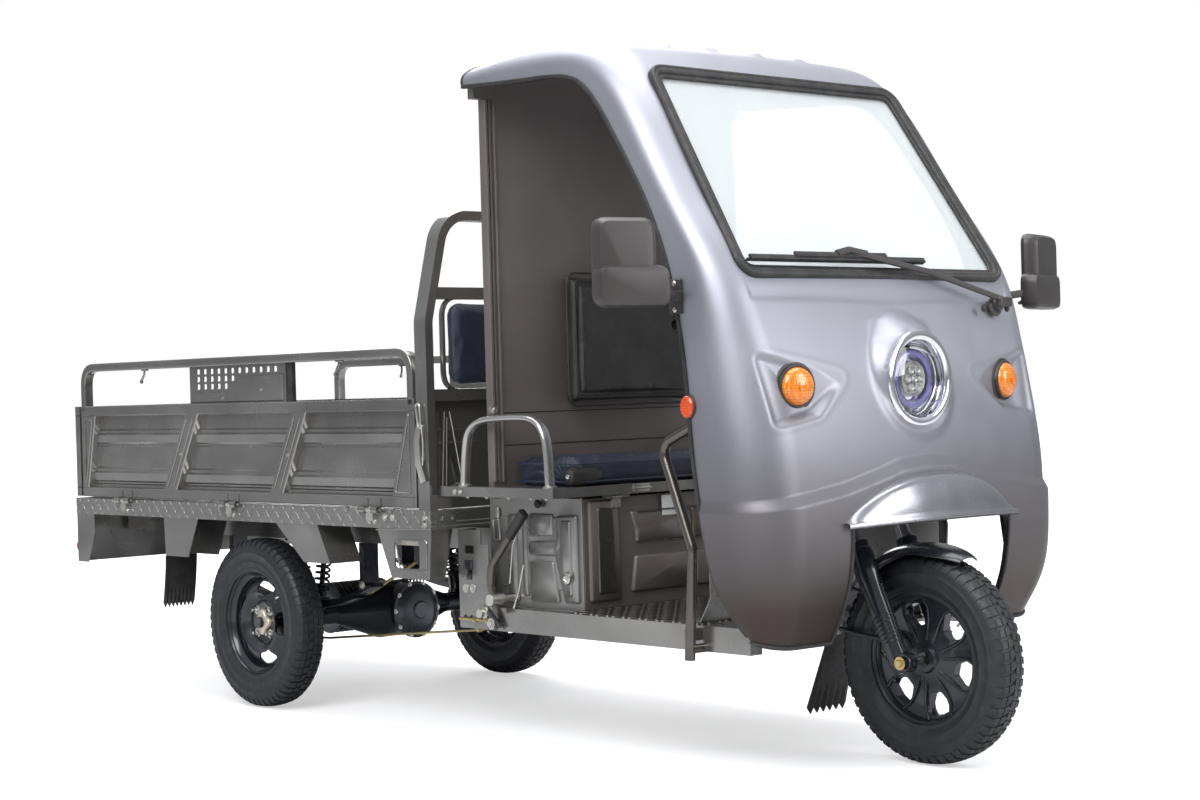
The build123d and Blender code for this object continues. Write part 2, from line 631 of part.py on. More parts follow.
post_x = BED_FRONT - POST / 2
post_y = BED_HALF - POST_D / 2
hoop_foot = BED_TOP + SEAT_FIT
hoop_line = [(post_y, hoop_foot), (post_y, 1125), (post_y - 68, HOOP_TOP)]
hoop_line = [(-y, z) for y, z in hoop_line] + list(reversed(hoop_line))
hoop = swept([(post_x, y, z) for y, z in hoop_line], 90, Rectangle(POST, POST_D), (1, 0, 0))
inner_y = BED_HALF - POST_D + 1
PAD_LOW = 939.0
PAD_TOP = 1183.0
for z in (BED_TOP + 20, PAD_LOW - 16 - SEAT_FIT, PAD_TOP + 16 + SEAT_FIT):
    hoop += block(BED_FRONT - 44, BED_FRONT - 8, -inner_y, inner_y, z - 16, z + 16)
hoop += block(BED_FRONT - 34, BED_FRONT - 30, -inner_y, inner_y, BED_TOP + 20, PAD_LOW - 27)
for side in SIDES:
    corner = [(inner_y, BED_TOP + 30), (inner_y, PAD_LOW - 40), (inner_y - 105, BED_TOP + 30)]
    corner = [(side * y, z) for y, z in corner]
    hoop += profile_yz(corner, BED_FRONT - 31, BED_FRONT - 14)
keep("headboard", hoop)
pad = block(BED_FRONT - 30 + SEAT_FIT, BED_FRONT + 6, -452, 452, PAD_LOW, PAD_TOP)
keep("headboard_pad", fillet(pad.edges().filter_by(Axis.X).group_by(Axis.Z)[-1], 40))

# ------------------------------------------------------------------ drop sides
SIDE_REAR = BED_REAR + SIDE_T
SIDE_FRONT = BED_FRONT - POST - 12
PIN_Y = BED_HALF + HINGE_OUT
HINGES = (BED_REAR + 322, BED_REAR + 947, BED_FRONT - 265)


def panel_line(face, low, high):
    """Points of a pressed panel's outer face: two swages that stand proud."""
    line = [(face, low)]
    for share in (0.36, 0.70):
        z = low + share * (high - low)
        line += [(face, z - 15), (face - 6, z - 8), (face - 6, z + 8), (face, z + 15)]
    return [*line, (face, high)]


def drop_side():
    """The right-hand side board with its raised rail."""
    y0, y1 = -BED_HALF, SIDE_D - BED_HALF
    low, high = SIDE_LOW + 30, SIDE_TOP - 30
    outer = panel_line(y0 + 9, low, high)
    back = [(y + SHEET, z) for y, z in reversed(outer)]
    board = profile_yz(outer + back, SIDE_REAR, SIDE_FRONT)
    board += block(SIDE_REAR, SIDE_FRONT, y0, y1, SIDE_LOW, SIDE_LOW + 34)
    board += block(SIDE_REAR, SIDE_FRONT, y0, y1, SIDE_TOP - 34, SIDE_TOP)
    rear = [(SIDE_REAR, low), (SIDE_REAR, high), (SIDE_REAR + 90, high), (SIDE_REAR + 36, low)]
    front = [(SIDE_FRONT, low), (SIDE_FRONT, high), (SIDE_FRONT - 36, high), (SIDE_FRONT - 110, low)]
    board += profile_xz(rear, y0, y1 - 8) + profile_xz(front, y0, y1 - 8)
    for share in (0.34, 0.64):
        x = SIDE_REAR + share * (SIDE_FRONT - SIDE_REAR)
        rib = [(x - 66, low), (x - 16, low), (x + 44, high), (x - 6, high)]
        board += profile_xz(rib, y0 + 1, y0 + 10)
    middle = y0 + SIDE_D / 2
    rail_z = RAIL_TOP - RAIL_D / 2
    ends = (SIDE_REAR + 14, SIDE_FRONT - 14)
    rail = [(ends[0], SIDE_TOP - 2), (ends[0], rail_z), (ends[1], rail_z), (ends[1], SIDE_TOP - 2)]
    line = [(x, middle, z) for x, z in rail]
    board += swept(line, 60, Rectangle(SIDE_D, RAIL_D), (0, 1, 0))
    x0, top = SIDE_REAR + 645, RAIL_TOP - RAIL_D + 2
    steps = [(x0, SIDE_TOP - 2), (x0, top), (x0 + 544, top), (x0 + 544, top - 38),
             (x0 + 452, top - 66), (x0 + 452, top - 88), (x0 + 370, SIDE_TOP - 2)]
    board += profile_xz(steps, middle - 2, middle + 1)
    for x in HINGES:
        for knuckle in (x - LEAF_STEP, x + LEAF_STEP):
            ends = (knuckle - LEAF, knuckle + LEAF)
            board += rod((ends[0], -PIN_Y, HINGE_Z), (ends[1], -PIN_Y, HINGE_Z), HINGE_R)
            board += block(*ends, -PIN_Y - 1, y0 - 2, HINGE_Z, SIDE_LOW + 22)
            board += block(*ends, y0 - 2, y0 + 1, SIDE_LOW, SIDE_LOW + 22)
    return board


right = drop_side()
keep("side_right", right)
keep("side_left", mirror(right, Plane.XZ))
for x in HINGES:
    for side in SIDES:
        ends = (x - FIXED_LEAF, x + FIXED_LEAF)
        y = side * PIN_Y
        strap = rod((ends[0], y, HINGE_Z), (ends[1], y, HINGE_Z), HINGE_R)
        strap += block(*ends, side * (BED_HALF + SEAT_FIT), y + side, HINGE_Z - 30, HINGE_Z)
        keep("bed_hinges", strap)

PIN_X = BED_REAR - HINGE_OUT
TAIL_HALF = BED_HALF - 4
gate_low, gate_high = SIDE_LOW + 30, SIDE_TOP - 30
gate = block(BED_REAR, BED_REAR + SIDE_D, -TAIL_HALF, TAIL_HALF, SIDE_LOW, SIDE_LOW + 34)
gate += block(BED_REAR, BED_REAR + SIDE_D, -TAIL_HALF, TAIL_HALF, SIDE_TOP - 34, SIDE_TOP)
swages = [(x + 9, z) for x, z in panel_line(BED_REAR, gate_low, gate_high)]
skin_line = [*swages, *[(x + SHEET, z) for x, z in reversed(swages)]]
gate += profile_xz(skin_line, -TAIL_HALF, TAIL_HALF)
for y in (24 - TAIL_HALF, -170, 170, TAIL_HALF - 24):
    gate += block(BED_REAR, BED_REAR + 24, y - 24, y + 24, gate_low - 10, gate_high + 10)
for y in (-330.0, 330.0):
    for middle in (y - LEAF_STEP, y + LEAF_STEP):
        ends = (middle - LEAF, middle + LEAF)
        gate += rod((PIN_X, ends[0], HINGE_Z), (PIN_X, ends[1], HINGE_Z), HINGE_R)
        gate += block(PIN_X - 1, BED_REAR - 2, *ends, HINGE_Z, SIDE_LOW + 22)
        gate += block(BED_REAR - 2, BED_REAR + 1, *ends, SIDE_LOW, SIDE_LOW + 22)
    ends = (y - FIXED_LEAF, y + FIXED_LEAF)
    strap = rod((PIN_X, ends[0], HINGE_Z), (PIN_X, ends[1], HINGE_Z), HINGE_R)
    strap += block(PIN_X - 1, BED_REAR - SEAT_FIT, *ends, HINGE_Z - 30, HINGE_Z)
    keep("bed_hinges", strap)
keep("tailgate", gate)

# ------------------------------------------------------------------ tail panel
PANEL_LOW = 400.0
LAMP_SIDE = BED_HALF - 57
under = BED_LOW - SEAT_FIT
panel = block(BED_REAR + 3, BED_REAR + 7, -BED_HALF, BED_HALF, PANEL_LOW, under)
for side in SIDES:
    wing = [(3, PANEL_LOW), (70, PANEL_LOW), (117, PANEL_LOW + 100), (117, under), (3, under)]
    wing = [(BED_REAR + x, z) for x, z in wing]
    panel += profile_xz(wing, side * BED_HALF, side * (BED_HALF - 3))
    lamp = (BED_REAR + 3 - SEAT_FIT, side * LAMP_SIDE, 446)
    keep("tail_lamps", rod(lamp, (BED_REAR - TAIL_LAMP_OUT, side * LAMP_SIDE, 446), 32))
panel += block(BED_REAR + 4, RAIL_REAR - SEAT_FIT, -60, 60, 500, 540)
keep("tail_panel", panel)

# ------------------------------------------------------------ axle and springs
AXLE_TUBE_R = 30.0
DRUM_R = 82.0
DRUM_IN = TRACK / 2 - 78
SPRING_Y = TRACK / 2 - 135
LEAF_HALF = 24.0
DAMPER_R = 16.0
LEAF_Z = TYRE_R + AXLE_TUBE_R + SEAT_FIT
hub_line = Vector(0, 0, TYRE_R)
casing = [(0, -DRUM_IN), (AXLE_TUBE_R, -DRUM_IN), (AXLE_TUBE_R, -215), (88, -50)]
casing += [(r, -y) for r, y in reversed(casing)]
axle = Pos(0, 0, TYRE_R) * turned(casing)
axle += across(hub_line, -TRACK / 2 - 30, TRACK / 2 + 30, STUB_R)
axle += rod((0, 22, TYRE_R), (104, 22, TYRE_R), 82)
axle += across(hub_line + Vector(-112, 0, 8), -150, 40, 76)
for side in SIDES:
    axle += across(hub_line, *sorted((side * DRUM_IN, side * (DRUM_IN + 36))), DRUM_R)
keep("rear_axle", axle)
SPRING_R = 1060.0
for side in SIDES:
    span = sorted((side * SPRING_Y - LEAF_HALF, side * SPRING_Y + LEAF_HALF))
    leaf = arc_strip(0, LEAF_Z + SPRING_R, SPRING_R - 18, SPRING_R - 9, 248.5, 291.5, *span)
    leaf += arc_strip(0, LEAF_Z + SPRING_R, SPRING_R - 10, SPRING_R, 256, 284, *span)
    for x in (-360, 336):
        leaf += block(x, x + 24, span[0] - 2, span[1] + 2, 358, RAIL_LOW - SEAT_FIT)
    keep("leaf_springs", leaf)
    damper_y = side * (SPRING_Y - LEAF_HALF - DAMPER_R - 2)
    for x in (-70, 70):
        damper = rod((0.25 * x, damper_y, TYRE_R), (x, damper_y, RAIL_LOW - 4), DAMPER_R)
        pad_y = sorted((damper_y - side * DAMPER_R, side * RAIL_Y))
        damper += block(x - 20, x + 20, *pad_y, RAIL_LOW - 8, RAIL_LOW - SEAT_FIT)
        damper -= across(hub_line, -DRUM_IN, DRUM_IN, AXLE_TUBE_R + SEAT_FIT)
        keep("shock_absorbers", damper - block(-90, 90, *pad_y, RAIL_LOW - SEAT_FIT, RAIL_LOW + 30))

# ------------------------------------------------------- mudflaps and brackets
FLAP_HALF = 55.0
FLAP_Y = BED_HALF - FLAP_HALF - 2
FLAP_T = 6.0
FLAP_TOP = 440.0
GUSSET_LOW = BED_LOW - 135


def bracket(line, y):
    """A web on the outside with a flange along its first edge and a back plate."""
    web = profile_xz(line, y - FLAP_HALF, y - FLAP_HALF + 4)
    web += profile_xz(line, y + FLAP_HALF - 4, y + FLAP_HALF)
    (x0, z0), (x1, z1) = line[0], line[-1]
    push = 4 if line[1][0] > x0 else -4
    back = [(x0, z0), (x0 + push, z0), (x1 + push, z1), (x1, z1)]
    return web + profile_xz(back, y - FLAP_HALF, y + FLAP_HALF)


for side in SIDES:
    y = side * FLAP_Y
    rear_line = [(-470, under), (-270, under), (-330, FLAP_TOP), (-463, FLAP_TOP)]
    keep("mudflap_brackets", bracket(rear_line, y))
    flap_z = (FLAP_TOP - SEAT_FIT, FLAP_TOP - 150)
    flap_line = [(-463, flap_z[0]), (-463 + FLAP_T, flap_z[0]), (-482, flap_z[1]), (-488, flap_z[1])]
    keep("mudflaps", profile_xz(flap_line, y - FLAP_HALF, y + FLAP_HALF))
    front_line = [(370, under), (160, under), (300, 450), (430, 450)]
    keep("mudflap_brackets", bracket(front_line, y))
    foot = [(244, under), (0, under), (10, GUSSET_LOW), (181, GUSSET_LOW)]
    foot = [(BED_FRONT - x, z) for x, z in foot]
    gusset = profile_xz(foot, side * BED_HALF, side * (BED_HALF - 4))
    window = Plane(origin=(BED_FRONT - 109, 0, GUSSET_LOW + 66), x_dir=(1, 0, 0), z_dir=(0, 1, 0))
    gusset -= window * extrude(RectangleRounded(112, 78, 14), amount=BED_HALF + 20, both=True)
    fold = [(1, under), (82, under), (52, GUSSET_LOW), (1, GUSSET_LOW)]
    fold = [(side * (BED_HALF - y), z) for y, z in fold]
    keep("bed_gussets", gusset + profile_yz(fold, BED_FRONT - 14, BED_FRONT - 10))

# ----------------------------------------------------------------- battery box
box = block(BOX_REAR, BOX_FRONT, -BOX_HALF, BOX_HALF, SILL_TOP, BOX_TOP)
box_x = (BOX_REAR + BOX_T, BOX_FRONT - BOX_T)
box -= block(*box_x, BOX_T - BOX_HALF, BOX_HALF - BOX_T, SILL_TOP + BOX_T, BOX_TOP - BOX_T)
hatch_x = (WALL_X + 10, BOX_FRONT - BOX_T - 16)
box -= block(*hatch_x, 20 - BOX_HALF, BOX_HALF - 20, SILL_TOP + 60, BOX_TOP + 5)
mid_x, mid_z = (BOX_REAR + BOX_FRONT) / 2, (SILL_TOP + BOX_TOP) / 2
for side in SIDES:
    for shift in (-92, 92):
        middle = (mid_x + shift, side * (BOX_HALF - 1), mid_z)
        plane = Plane(origin=middle, x_dir=(1, 0, 0), z_dir=(0, side, 0))
        box += plane * extrude(RectangleRounded(130, 190, 22), 4, taper=30)
    middle = (BOX_FRONT - 1, side * BOX_HALF / 2, mid_z)
    plane = Plane(origin=middle, x_dir=(0, 1, 0), z_dir=(1, 0, 0))
    box += plane * extrude(RectangleRounded(290, 150, 22), 4, taper=30)
keep("battery_box", Pos(0, 0, SEAT_FIT) * box)
BATTERIES = 5
pitch = 2 * (BOX_HALF - BOX_T - 8) / BATTERIES
cell_low = SILL_TOP + BOX_T + 2 * SEAT_FIT
for k in range(BATTERIES):
    y = pitch * (k - (BATTERIES - 1) / 2)
    cell_x = (WALL_X + 30, BOX_FRONT - 42)
    keep("batteries", block(*cell_x, y - pitch / 2 + 5, y + pitch / 2 - 5, cell_low, cell_low + 197))

# -------------------------------------------------------------------- footwell
slot = NECK_HALF + 1
tread_z = (SILL_TOP + SEAT_FIT, SILL_TOP + SEAT_FIT + 4)
tread = block(BOX_FRONT + 8, CROSS_FRONT, -SILL_HALF, SILL_HALF, *tread_z)
tread -= block(NECK_X - slot, NECK_X + slot, -slot, slot, 300, 420)
keep("footwell_floor", tread)
low = tread_z[1] + SEAT_FIT
shield_line = [
    (CROSS_FRONT - 60, low), (CROSS_FRONT - 6, low), (SHIELD_X, low + 60), (SHIELD_X, DASH_Z - 40),
    (SHIELD_X + 40, DASH_Z), (SHIELD_X + 190, DASH_Z + 86), (SHIELD_X + 190, DASH_Z + 90),
    (SHIELD_X + 38, DASH_Z + 4), (SHIELD_X - SHIELD_T, DASH_Z - 38), (SHIELD_X - SHIELD_T, low + 61),
    (CROSS_FRONT - 8, low + SHIELD_T), (CROSS_FRONT - 60, low + SHIELD_T),
]
shield = profile_xz(shield_line, -SHIELD_HALF, SHIELD_HALF)
shield -= block(SHIELD_X - 40, SHIELD_X + 138, -168, 168, YOKE_LOW - 90, BAR_Z + 15)
shield -= block(NECK_X - 40, NECK_X + 40, -slot, slot, 300, 420)
keep("leg_shield", shield)

GUARD_Y = SILL_HALF + 30
GUARD_R = 13.0
for side in SIDES:
    y = side * GUARD_Y
    guard_line = [(SHIELD_X, 836), (SHIELD_X - 116, 788), (SHIELD_X - 16, 540), (SHIELD_X - 36, 273)]
    guard = swept([(x, y, z) for x, z in guard_line], 36, Circle(GUARD_R))
    guard += block(SHIELD_X - 51, SHIELD_X - 21, side * (SILL_HALF + SEAT_FIT), y, 320, 346)
    plate = (SHIELD_X - SHIELD_T - SEAT_FIT, SHIELD_X - 26, side * (SHIELD_HALF - 30), y, 822, 850)
    guard += block(*plate)
    keep("leg_guards", guard)

# ------------------------------------------------------------------------ seat
SEAT_LOW = BOX_TOP + 7.0
seat_top = SEAT_LOW + SEAT_T
arm = SEAT_HALF - 25
seat = block(WALL_X + 8, SEAT_FRONT, -arm - 1, arm + 1, SEAT_LOW, seat_top)
seat -= block(WALL_X + 40, SEAT_FRONT - 30, 30 - arm, arm - 30, SEAT_LOW - 1, seat_top - 3)
for side in SIDES:
    seat += block(SEAT_REAR, SEAT_FRONT, side * arm, side * SEAT_HALF, SEAT_LOW, seat_top)
SEAT_PIN_X = BOX_FRONT + 14
SEAT_PIN_Z = BOX_TOP + 1
for y in (-280.0, 280.0):
    ends = (y - FIXED_LEAF, y + FIXED_LEAF)
    strap = rod((SEAT_PIN_X, ends[0], SEAT_PIN_Z), (SEAT_PIN_X, ends[1], SEAT_PIN_Z), 5)
    strap += block(BOX_FRONT + SEAT_FIT, SEAT_PIN_X + 1, *ends, SEAT_PIN_Z - 28, SEAT_PIN_Z)
    keep("seat_hinges", strap)
    for middle in (y - LEAF_STEP, y + LEAF_STEP):
        ends = (middle - LEAF, middle + LEAF)
        seat += rod((SEAT_PIN_X, ends[0], SEAT_PIN_Z), (SEAT_PIN_X, ends[1], SEAT_PIN_Z), 5)
        seat += block(SEAT_PIN_X - 4, SEAT_PIN_X + 4, *ends, SEAT_PIN_Z, SEAT_LOW + 1)
keep("seat_frame", seat)
cushion_low = seat_top + SEAT_FIT
cushion_z = (cushion_low, cushion_low + CUSHION_H)
cushion = block(WALL_X + 14, SEAT_FRONT - 4, -CUSHION_HALF, CUSHION_HALF, *cushion_z)
cushion = fillet(cushion.edges().filter_by(Axis.Z), 34)
keep("seat_cushion", fillet(cushion.edges().group_by(Axis.Z)[-1], 20))
GRAB_R = 12.5
for side in SIDES:
    y = side * (SEAT_HALF - GRAB_R)
    top = seat_top + GRAB_RISE
    foot = cushion_low - 20
    grab = [(1012, foot), (1012, top), (1262, top), (SEAT_FRONT - 22, foot)]
    loop = swept([(x, y, z) for x, z in grab], 40, Circle(GRAB_R))
    loop -= block(SEAT_REAR, SEAT_FRONT + 60, y - 30, y + 30, foot - 30, cushion_low)
    keep("grab_rails", loop)
rest_z = (BACKREST_LOW, BACKREST_TOP)
rest = block(WALL_X + SEAT_FIT, WALL_X + 56, -BACKREST_HALF, BACKREST_HALF, *rest_z)
rest = fillet(rest.edges().filter_by(Axis.X), 30)
keep("backrest", fillet(rest.edges().group_by(Axis.X)[-1], 16))

# ----------------------------------------------------------------- brake parts
LEVER_X = WALL_X - 14
LEVER_Y = -GUARD_Y - 5
lever_line = [(LEVER_X, 378), (LEVER_X - 9, 470), (LEVER_X + 132, 598)]
lever = swept([(x, LEVER_Y, z) for x, z in lever_line], 20, Circle(9))
lever += block(LEVER_X - 21, LEVER_X + 19, LEVER_Y, -BOX_HALF - SEAT_FIT, 372, 392)
keep("handbrake_lever", lever)

BRACKET_X = BED_FRONT + 12
BRACKET_LOW = SILL_LOW + 2
plate = [(0, BRACKET_LOW), (118, BRACKET_LOW), (118, SILL_TOP + 30), (128, SILL_TOP + 40)]
plate += [(128, BED_LOW - 40), (96, BED_LOW - 40), (96, BED_LOW - 2), (0, BED_LOW - 2)]
plate = [(BRACKET_X + x, z) for x, z in plate]
plate_y = (-SILL_HALF - SEAT_FIT, -SILL_HALF - SEAT_FIT - 4)
bracket_plate = profile_xz(plate, *plate_y)
slot_x = (BRACKET_X + 26, BRACKET_X + 66)
bracket_plate -= block(*slot_x, -SILL_HALF, -SILL_HALF - 20, BED_LOW - 66, BED_LOW - 44)
for x, z, r in ((24, 28, 7), (50, 28, 7), (84, 34, 12), (48, 150, 11)):
    hole = (BRACKET_X + x, -SILL_HALF, BRACKET_LOW + z)
    bracket_plate -= rod(hole, (hole[0], -SILL_HALF - 20, hole[2]), r)
fold_y = (-SILL_HALF - SEAT_FIT - 1, -BOX_HALF)
bracket_plate += block(BRACKET_X, BRACKET_X + 4, *fold_y, SILL_TOP + 6, BED_LOW - 2)
keep("brake_bracket", bracket_plate)

moved = Pos(-X_MID, 0, 0)
os.makedirs("parts", exist_ok=True)
for name, shapes in parts.items():
    solids = [s for shape in shapes for s in (moved * shape).solids()]
    whole = solids[0] if len(solids) == 1 else Compound(solids)
    export_step(whole, f"parts/{name}.step")
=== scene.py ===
from math import cos, exp, hypot, pi, radians, sin, sqrt, tan

import bmesh
import bpy
import numpy as np
from mathutils import Matrix, Vector


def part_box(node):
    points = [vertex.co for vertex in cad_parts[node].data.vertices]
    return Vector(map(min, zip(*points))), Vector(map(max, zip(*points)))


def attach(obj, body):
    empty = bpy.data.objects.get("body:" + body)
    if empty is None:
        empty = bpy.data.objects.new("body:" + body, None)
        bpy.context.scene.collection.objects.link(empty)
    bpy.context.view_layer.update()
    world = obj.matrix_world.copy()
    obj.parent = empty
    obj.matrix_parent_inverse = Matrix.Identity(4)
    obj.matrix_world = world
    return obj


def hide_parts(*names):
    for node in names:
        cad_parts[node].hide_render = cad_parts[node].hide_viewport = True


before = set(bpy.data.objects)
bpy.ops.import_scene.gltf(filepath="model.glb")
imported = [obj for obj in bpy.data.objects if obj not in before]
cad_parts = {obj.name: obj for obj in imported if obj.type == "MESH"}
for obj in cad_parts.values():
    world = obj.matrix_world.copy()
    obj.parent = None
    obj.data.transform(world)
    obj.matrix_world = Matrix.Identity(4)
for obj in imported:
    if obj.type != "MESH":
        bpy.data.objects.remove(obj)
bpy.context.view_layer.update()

RIGHT_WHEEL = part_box("rear_tyre_right")
REAR_X = (RIGHT_WHEEL[0].x + RIGHT_WHEEL[1].x) / 2      # the rear axle's X in the frame
X, Y, Z = (1, 0, 0), (0, 1, 0), (0, 0, 1)
SIDES = (-1, 1)
WHEELBASE, HALF_TRACK, HUB_Z = 2.183, 0.465, 0.254
LAMP_Z = 0.932


def at(x, y, z):
    """A point given from the rear axle and the ground, in metres."""
    return Vector((x + REAR_X, y, z))


# ------------------------------------------------------------------ materials
class Shader:
    """A Principled material built up from procedural nodes in object space."""

    def __init__(self, name, **sockets):
        self.mat = bpy.data.materials.new(name)
        self.mat.use_nodes = True
        self.tree = self.mat.node_tree
        self.bsdf = self.tree.nodes["Principled BSDF"]
        self.coord = self.tree.nodes.new("ShaderNodeTexCoord").outputs["Object"]
        self.normal = None
        for key, value in sockets.items():
            self.bsdf.inputs[key.replace("_", " ")].default_value = value

    def node(self, kind, inputs=None, **attributes):
        n = self.tree.nodes.new(kind)
        for key, value in attributes.items():
            setattr(n, key, value)
        for key, value in (inputs or {}).items():
            if isinstance(value, bpy.types.NodeSocket):
                self.tree.links.new(value, n.inputs[key])
            else:
                n.inputs[key].default_value = value
        return n

    def noise(self, scale, detail=3.0, stretch=None):
        vector = self.coord
        if stretch:
            vector = self.node("ShaderNodeMapping", {"Vector": vector, "Scale": stretch}).outputs[0]
        return self.node("ShaderNodeTexNoise", {"Vector": vector, "Scale": scale, "Detail": detail}).outputs["Fac"]

    def remap(self, value, low, high, to_low=0.0, to_high=1.0):
        inputs = {"Value": value, "From Min": low, "From Max": high, "To Min": to_low, "To Max": to_high}
        return self.node("ShaderNodeMapRange", inputs).outputs[0]

    def math(self, op, a, b=0.0):
        return self.node("ShaderNodeMath", {0: a, 1: b}, operation=op).outputs[0]

    def axis(self, index):
        return self.node("ShaderNodeSeparateXYZ", {0: self.coord}).outputs[index]

    def mix(self, fac, a, b):
        n = self.node("ShaderNodeMix", data_type="RGBA")
        for key, value in ((0, fac), (6, a), (7, b)):
            if isinstance(value, bpy.types.NodeSocket):
                self.tree.links.new(value, n.inputs[key])
            elif key == 0:
                n.inputs[key].default_value = value
            else:
                n.inputs[key].default_value = (*value[:3], 1.0)
        return n.outputs[2]

    def colour(self, socket):
        self.tree.links.new(socket, self.bsdf.inputs["Base Color"])

    def rough(self, socket):
        self.tree.links.new(socket, self.bsdf.inputs["Roughness"])

    def mottle(self, scale, detail, low, high, colour, second):
        """A colour that wanders between two tones."""
        self.colour(self.mix(self.remap(self.noise(scale, detail), low, high), colour, second))

    def uneven(self, scale, detail, low, high, smoothest, roughest):
        """A roughness that wanders between two values."""
        self.rough(self.remap(self.noise(scale, detail), low, high, smoothest, roughest))

    def bump(self, height, distance, strength=1.0):
        inputs = {"Height": height, "Distance": distance, "Strength": strength}
        if self.normal is not None:
            inputs["Normal"] = self.normal
        self.normal = self.node("ShaderNodeBump", inputs).outputs[0]
        self.tree.links.new(self.normal, self.bsdf.inputs["Normal"])

    def soft_edges(self, radius):
        self.normal = self.node("ShaderNodeBevel", {"Radius": radius}, samples=4).outputs[0]
        self.tree.links.new(self.normal, self.bsdf.inputs["Normal"])

    def bars(self, pitch, axes, slant=0.7071):
        """Height of short slanted bars that alternate in direction on a square grid, 0 to 1."""
        u = self.math("DIVIDE", self.axis(axes[0]), pitch)
        v = self.math("DIVIDE", self.axis(axes[1]), pitch)
        iu, iv = self.math("FLOOR", u), self.math("FLOOR", v)
        fu = self.math("SUBTRACT", self.math("SUBTRACT", u, iu), 0.5)
        fv = self.math("SUBTRACT", self.math("SUBTRACT", v, iv), 0.5)
        odd = self.math("MODULO", self.math("ABSOLUTE", self.math("ADD", iu, iv)), 2.0)
        sv = self.math("MULTIPLY", fv, self.math("SUBTRACT", self.math("MULTIPLY", odd, 2.0), 1.0))
        along = self.math("DIVIDE", self.math("MULTIPLY", self.math("ADD", fu, sv), slant), 0.5)
        across = self.math("DIVIDE", self.math("MULTIPLY", self.math("SUBTRACT", fu, sv), slant), 0.13)
        total = self.math("ADD", self.math("POWER", along, 2.0), self.math("POWER", across, 2.0))
        return self.remap(self.math("SQRT", total), 1.0, 0.7)


def paint(name, colour, second, rough=0.42, metallic=0.0, grain=900.0, edge=0.0012, wave=0.0, flake=0.0, **more):
    """Paint with a slow change of tone, fine orange peel and, on thin sheet, a slow wave."""
    s = Shader(name, Metallic=metallic, **more)
    tone = s.mix(s.remap(s.noise(2.3, 4.0), 0.35, 0.65), colour, second)
    if flake:
        speck = s.noise(2600.0, 1.0)
        tone = s.mix(s.remap(speck, 0.62, 0.72, 0.0, flake), tone, tuple(min(1.0, c * 1.9 + 0.05) for c in colour))
    s.colour(tone)
    s.uneven(7.0, 5.0, 0.3, 0.7, rough - 0.06, rough + 0.09)
    if edge:
        s.soft_edges(edge)
    if wave:
        s.bump(s.noise(5.0, 1.0), wave, 1.0)
    s.bump(s.noise(grain, 2.0), 0.0001, 0.15)
    return s


STEEL = ((0.3, 0.293, 0.28), (0.225, 0.22, 0.211))
FRAME = paint("frame_paint", *STEEL, rough=0.22, metallic=0.85, edge=0.0, wave=0.007).mat
SILVER = paint("pressed_silver", (0.3, 0.295, 0.285), (0.25, 0.246, 0.238), rough=0.3, metallic=0.7).mat
BRONZE = paint("bronze_steel", (0.13, 0.118, 0.106), (0.105, 0.096, 0.088), rough=0.25, metallic=0.85).mat
COVER = paint("cast_cover", (0.1, 0.105, 0.12), (0.07, 0.074, 0.086), rough=0.3, metallic=0.7).mat
CAP = paint("hub_cap", (0.62, 0.54, 0.44), (0.56, 0.49, 0.4), rough=0.3, metallic=0.5).mat
GUARD = paint("guard_paint", (0.42, 0.415, 0.405), (0.36, 0.355, 0.35), rough=0.22, metallic=0.85).mat
BLACK = paint("chassis_black", (0.009, 0.011, 0.017), (0.014, 0.016, 0.022), rough=0.26, metallic=0.2,
              Coat_Weight=0.4).mat
# The cab wall's dark paint, which also serves as painted shade on the battery box's front.
WALL_AND_BOX_SHADE = paint("wall_and_box_shade_paint", (0.165, 0.142, 0.132), (0.13, 0.112, 0.104), rough=0.36, metallic=0.4).mat
VISOR = paint("visor_paint", (0.3, 0.3, 0.325), (0.26, 0.26, 0.28), rough=0.26, metallic=0.8, flake=0.1).mat
PLASTIC = paint("textured_plastic", (0.024, 0.021, 0.02), (0.034, 0.03, 0.028), rough=0.42, grain=1500.0).mat
DARK = paint("dark_gap", (0.006, 0.006, 0.007), (0.01, 0.01, 0.01), rough=0.7).mat
PLATE = paint("blank_plate", (0.72, 0.72, 0.7), (0.66, 0.66, 0.65), rough=0.5).mat


def strip_paint():
    """Frame paint over pressed tread bars, on the bed's edge strip."""
    s = paint("tread_strip", *STEEL, rough=0.3, metallic=0.8, flake=0.25)
    s.bump(s.bars(0.026, (0, 2), 0.62), 0.0035, 0.9)
    return s.mat


def cab_paint():
    """Satin metallic paint: fine flake, and painted shade that makes the colour warmer and darker towards the chin."""
    s = Shader("cab_paint", Metallic=0.72, Coat_Weight=0.18, Coat_Roughness=0.4)
    top = s.mix(s.remap(s.noise(1.6, 3.0), 0.35, 0.65), (0.292, 0.298, 0.338), (0.262, 0.267, 0.302))
    speck = s.noise(2400.0, 1.0)
    top = s.mix(s.remap(speck, 0.6, 0.72, 0.0, 0.3), top, (0.6, 0.59, 0.66))
    # Painted shade: a dark brown low down blends into the paint colour higher up, by height alone.
    tone = s.mix(s.remap(s.axis(2), 0.4, 1.0), (0.05, 0.037, 0.031), top)
    s.colour(tone)
    s.uneven(9.0, 4.0, 0.3, 0.7, 0.42, 0.5)
    s.soft_edges(0.0025)
    s.bump(s.noise(700.0, 2.0), 0.0002, 0.3)
    return s.mat


def metal(name, colour, rough, scratches=0.3):
    s = Shader(name, Metallic=1.0)
    grain = s.noise(500.0, 3.0, stretch=(1.0, 1.0, 8.0))
    s.mottle(14.0, 4.0, 0.35, 0.7, colour, tuple(c * 0.82 for c in colour))
    s.rough(s.remap(grain, 0.3, 0.7, rough * 0.75, rough * 1.3))
    s.soft_edges(0.0008)
    s.bump(grain, 0.00015, scratches)
    return s.mat


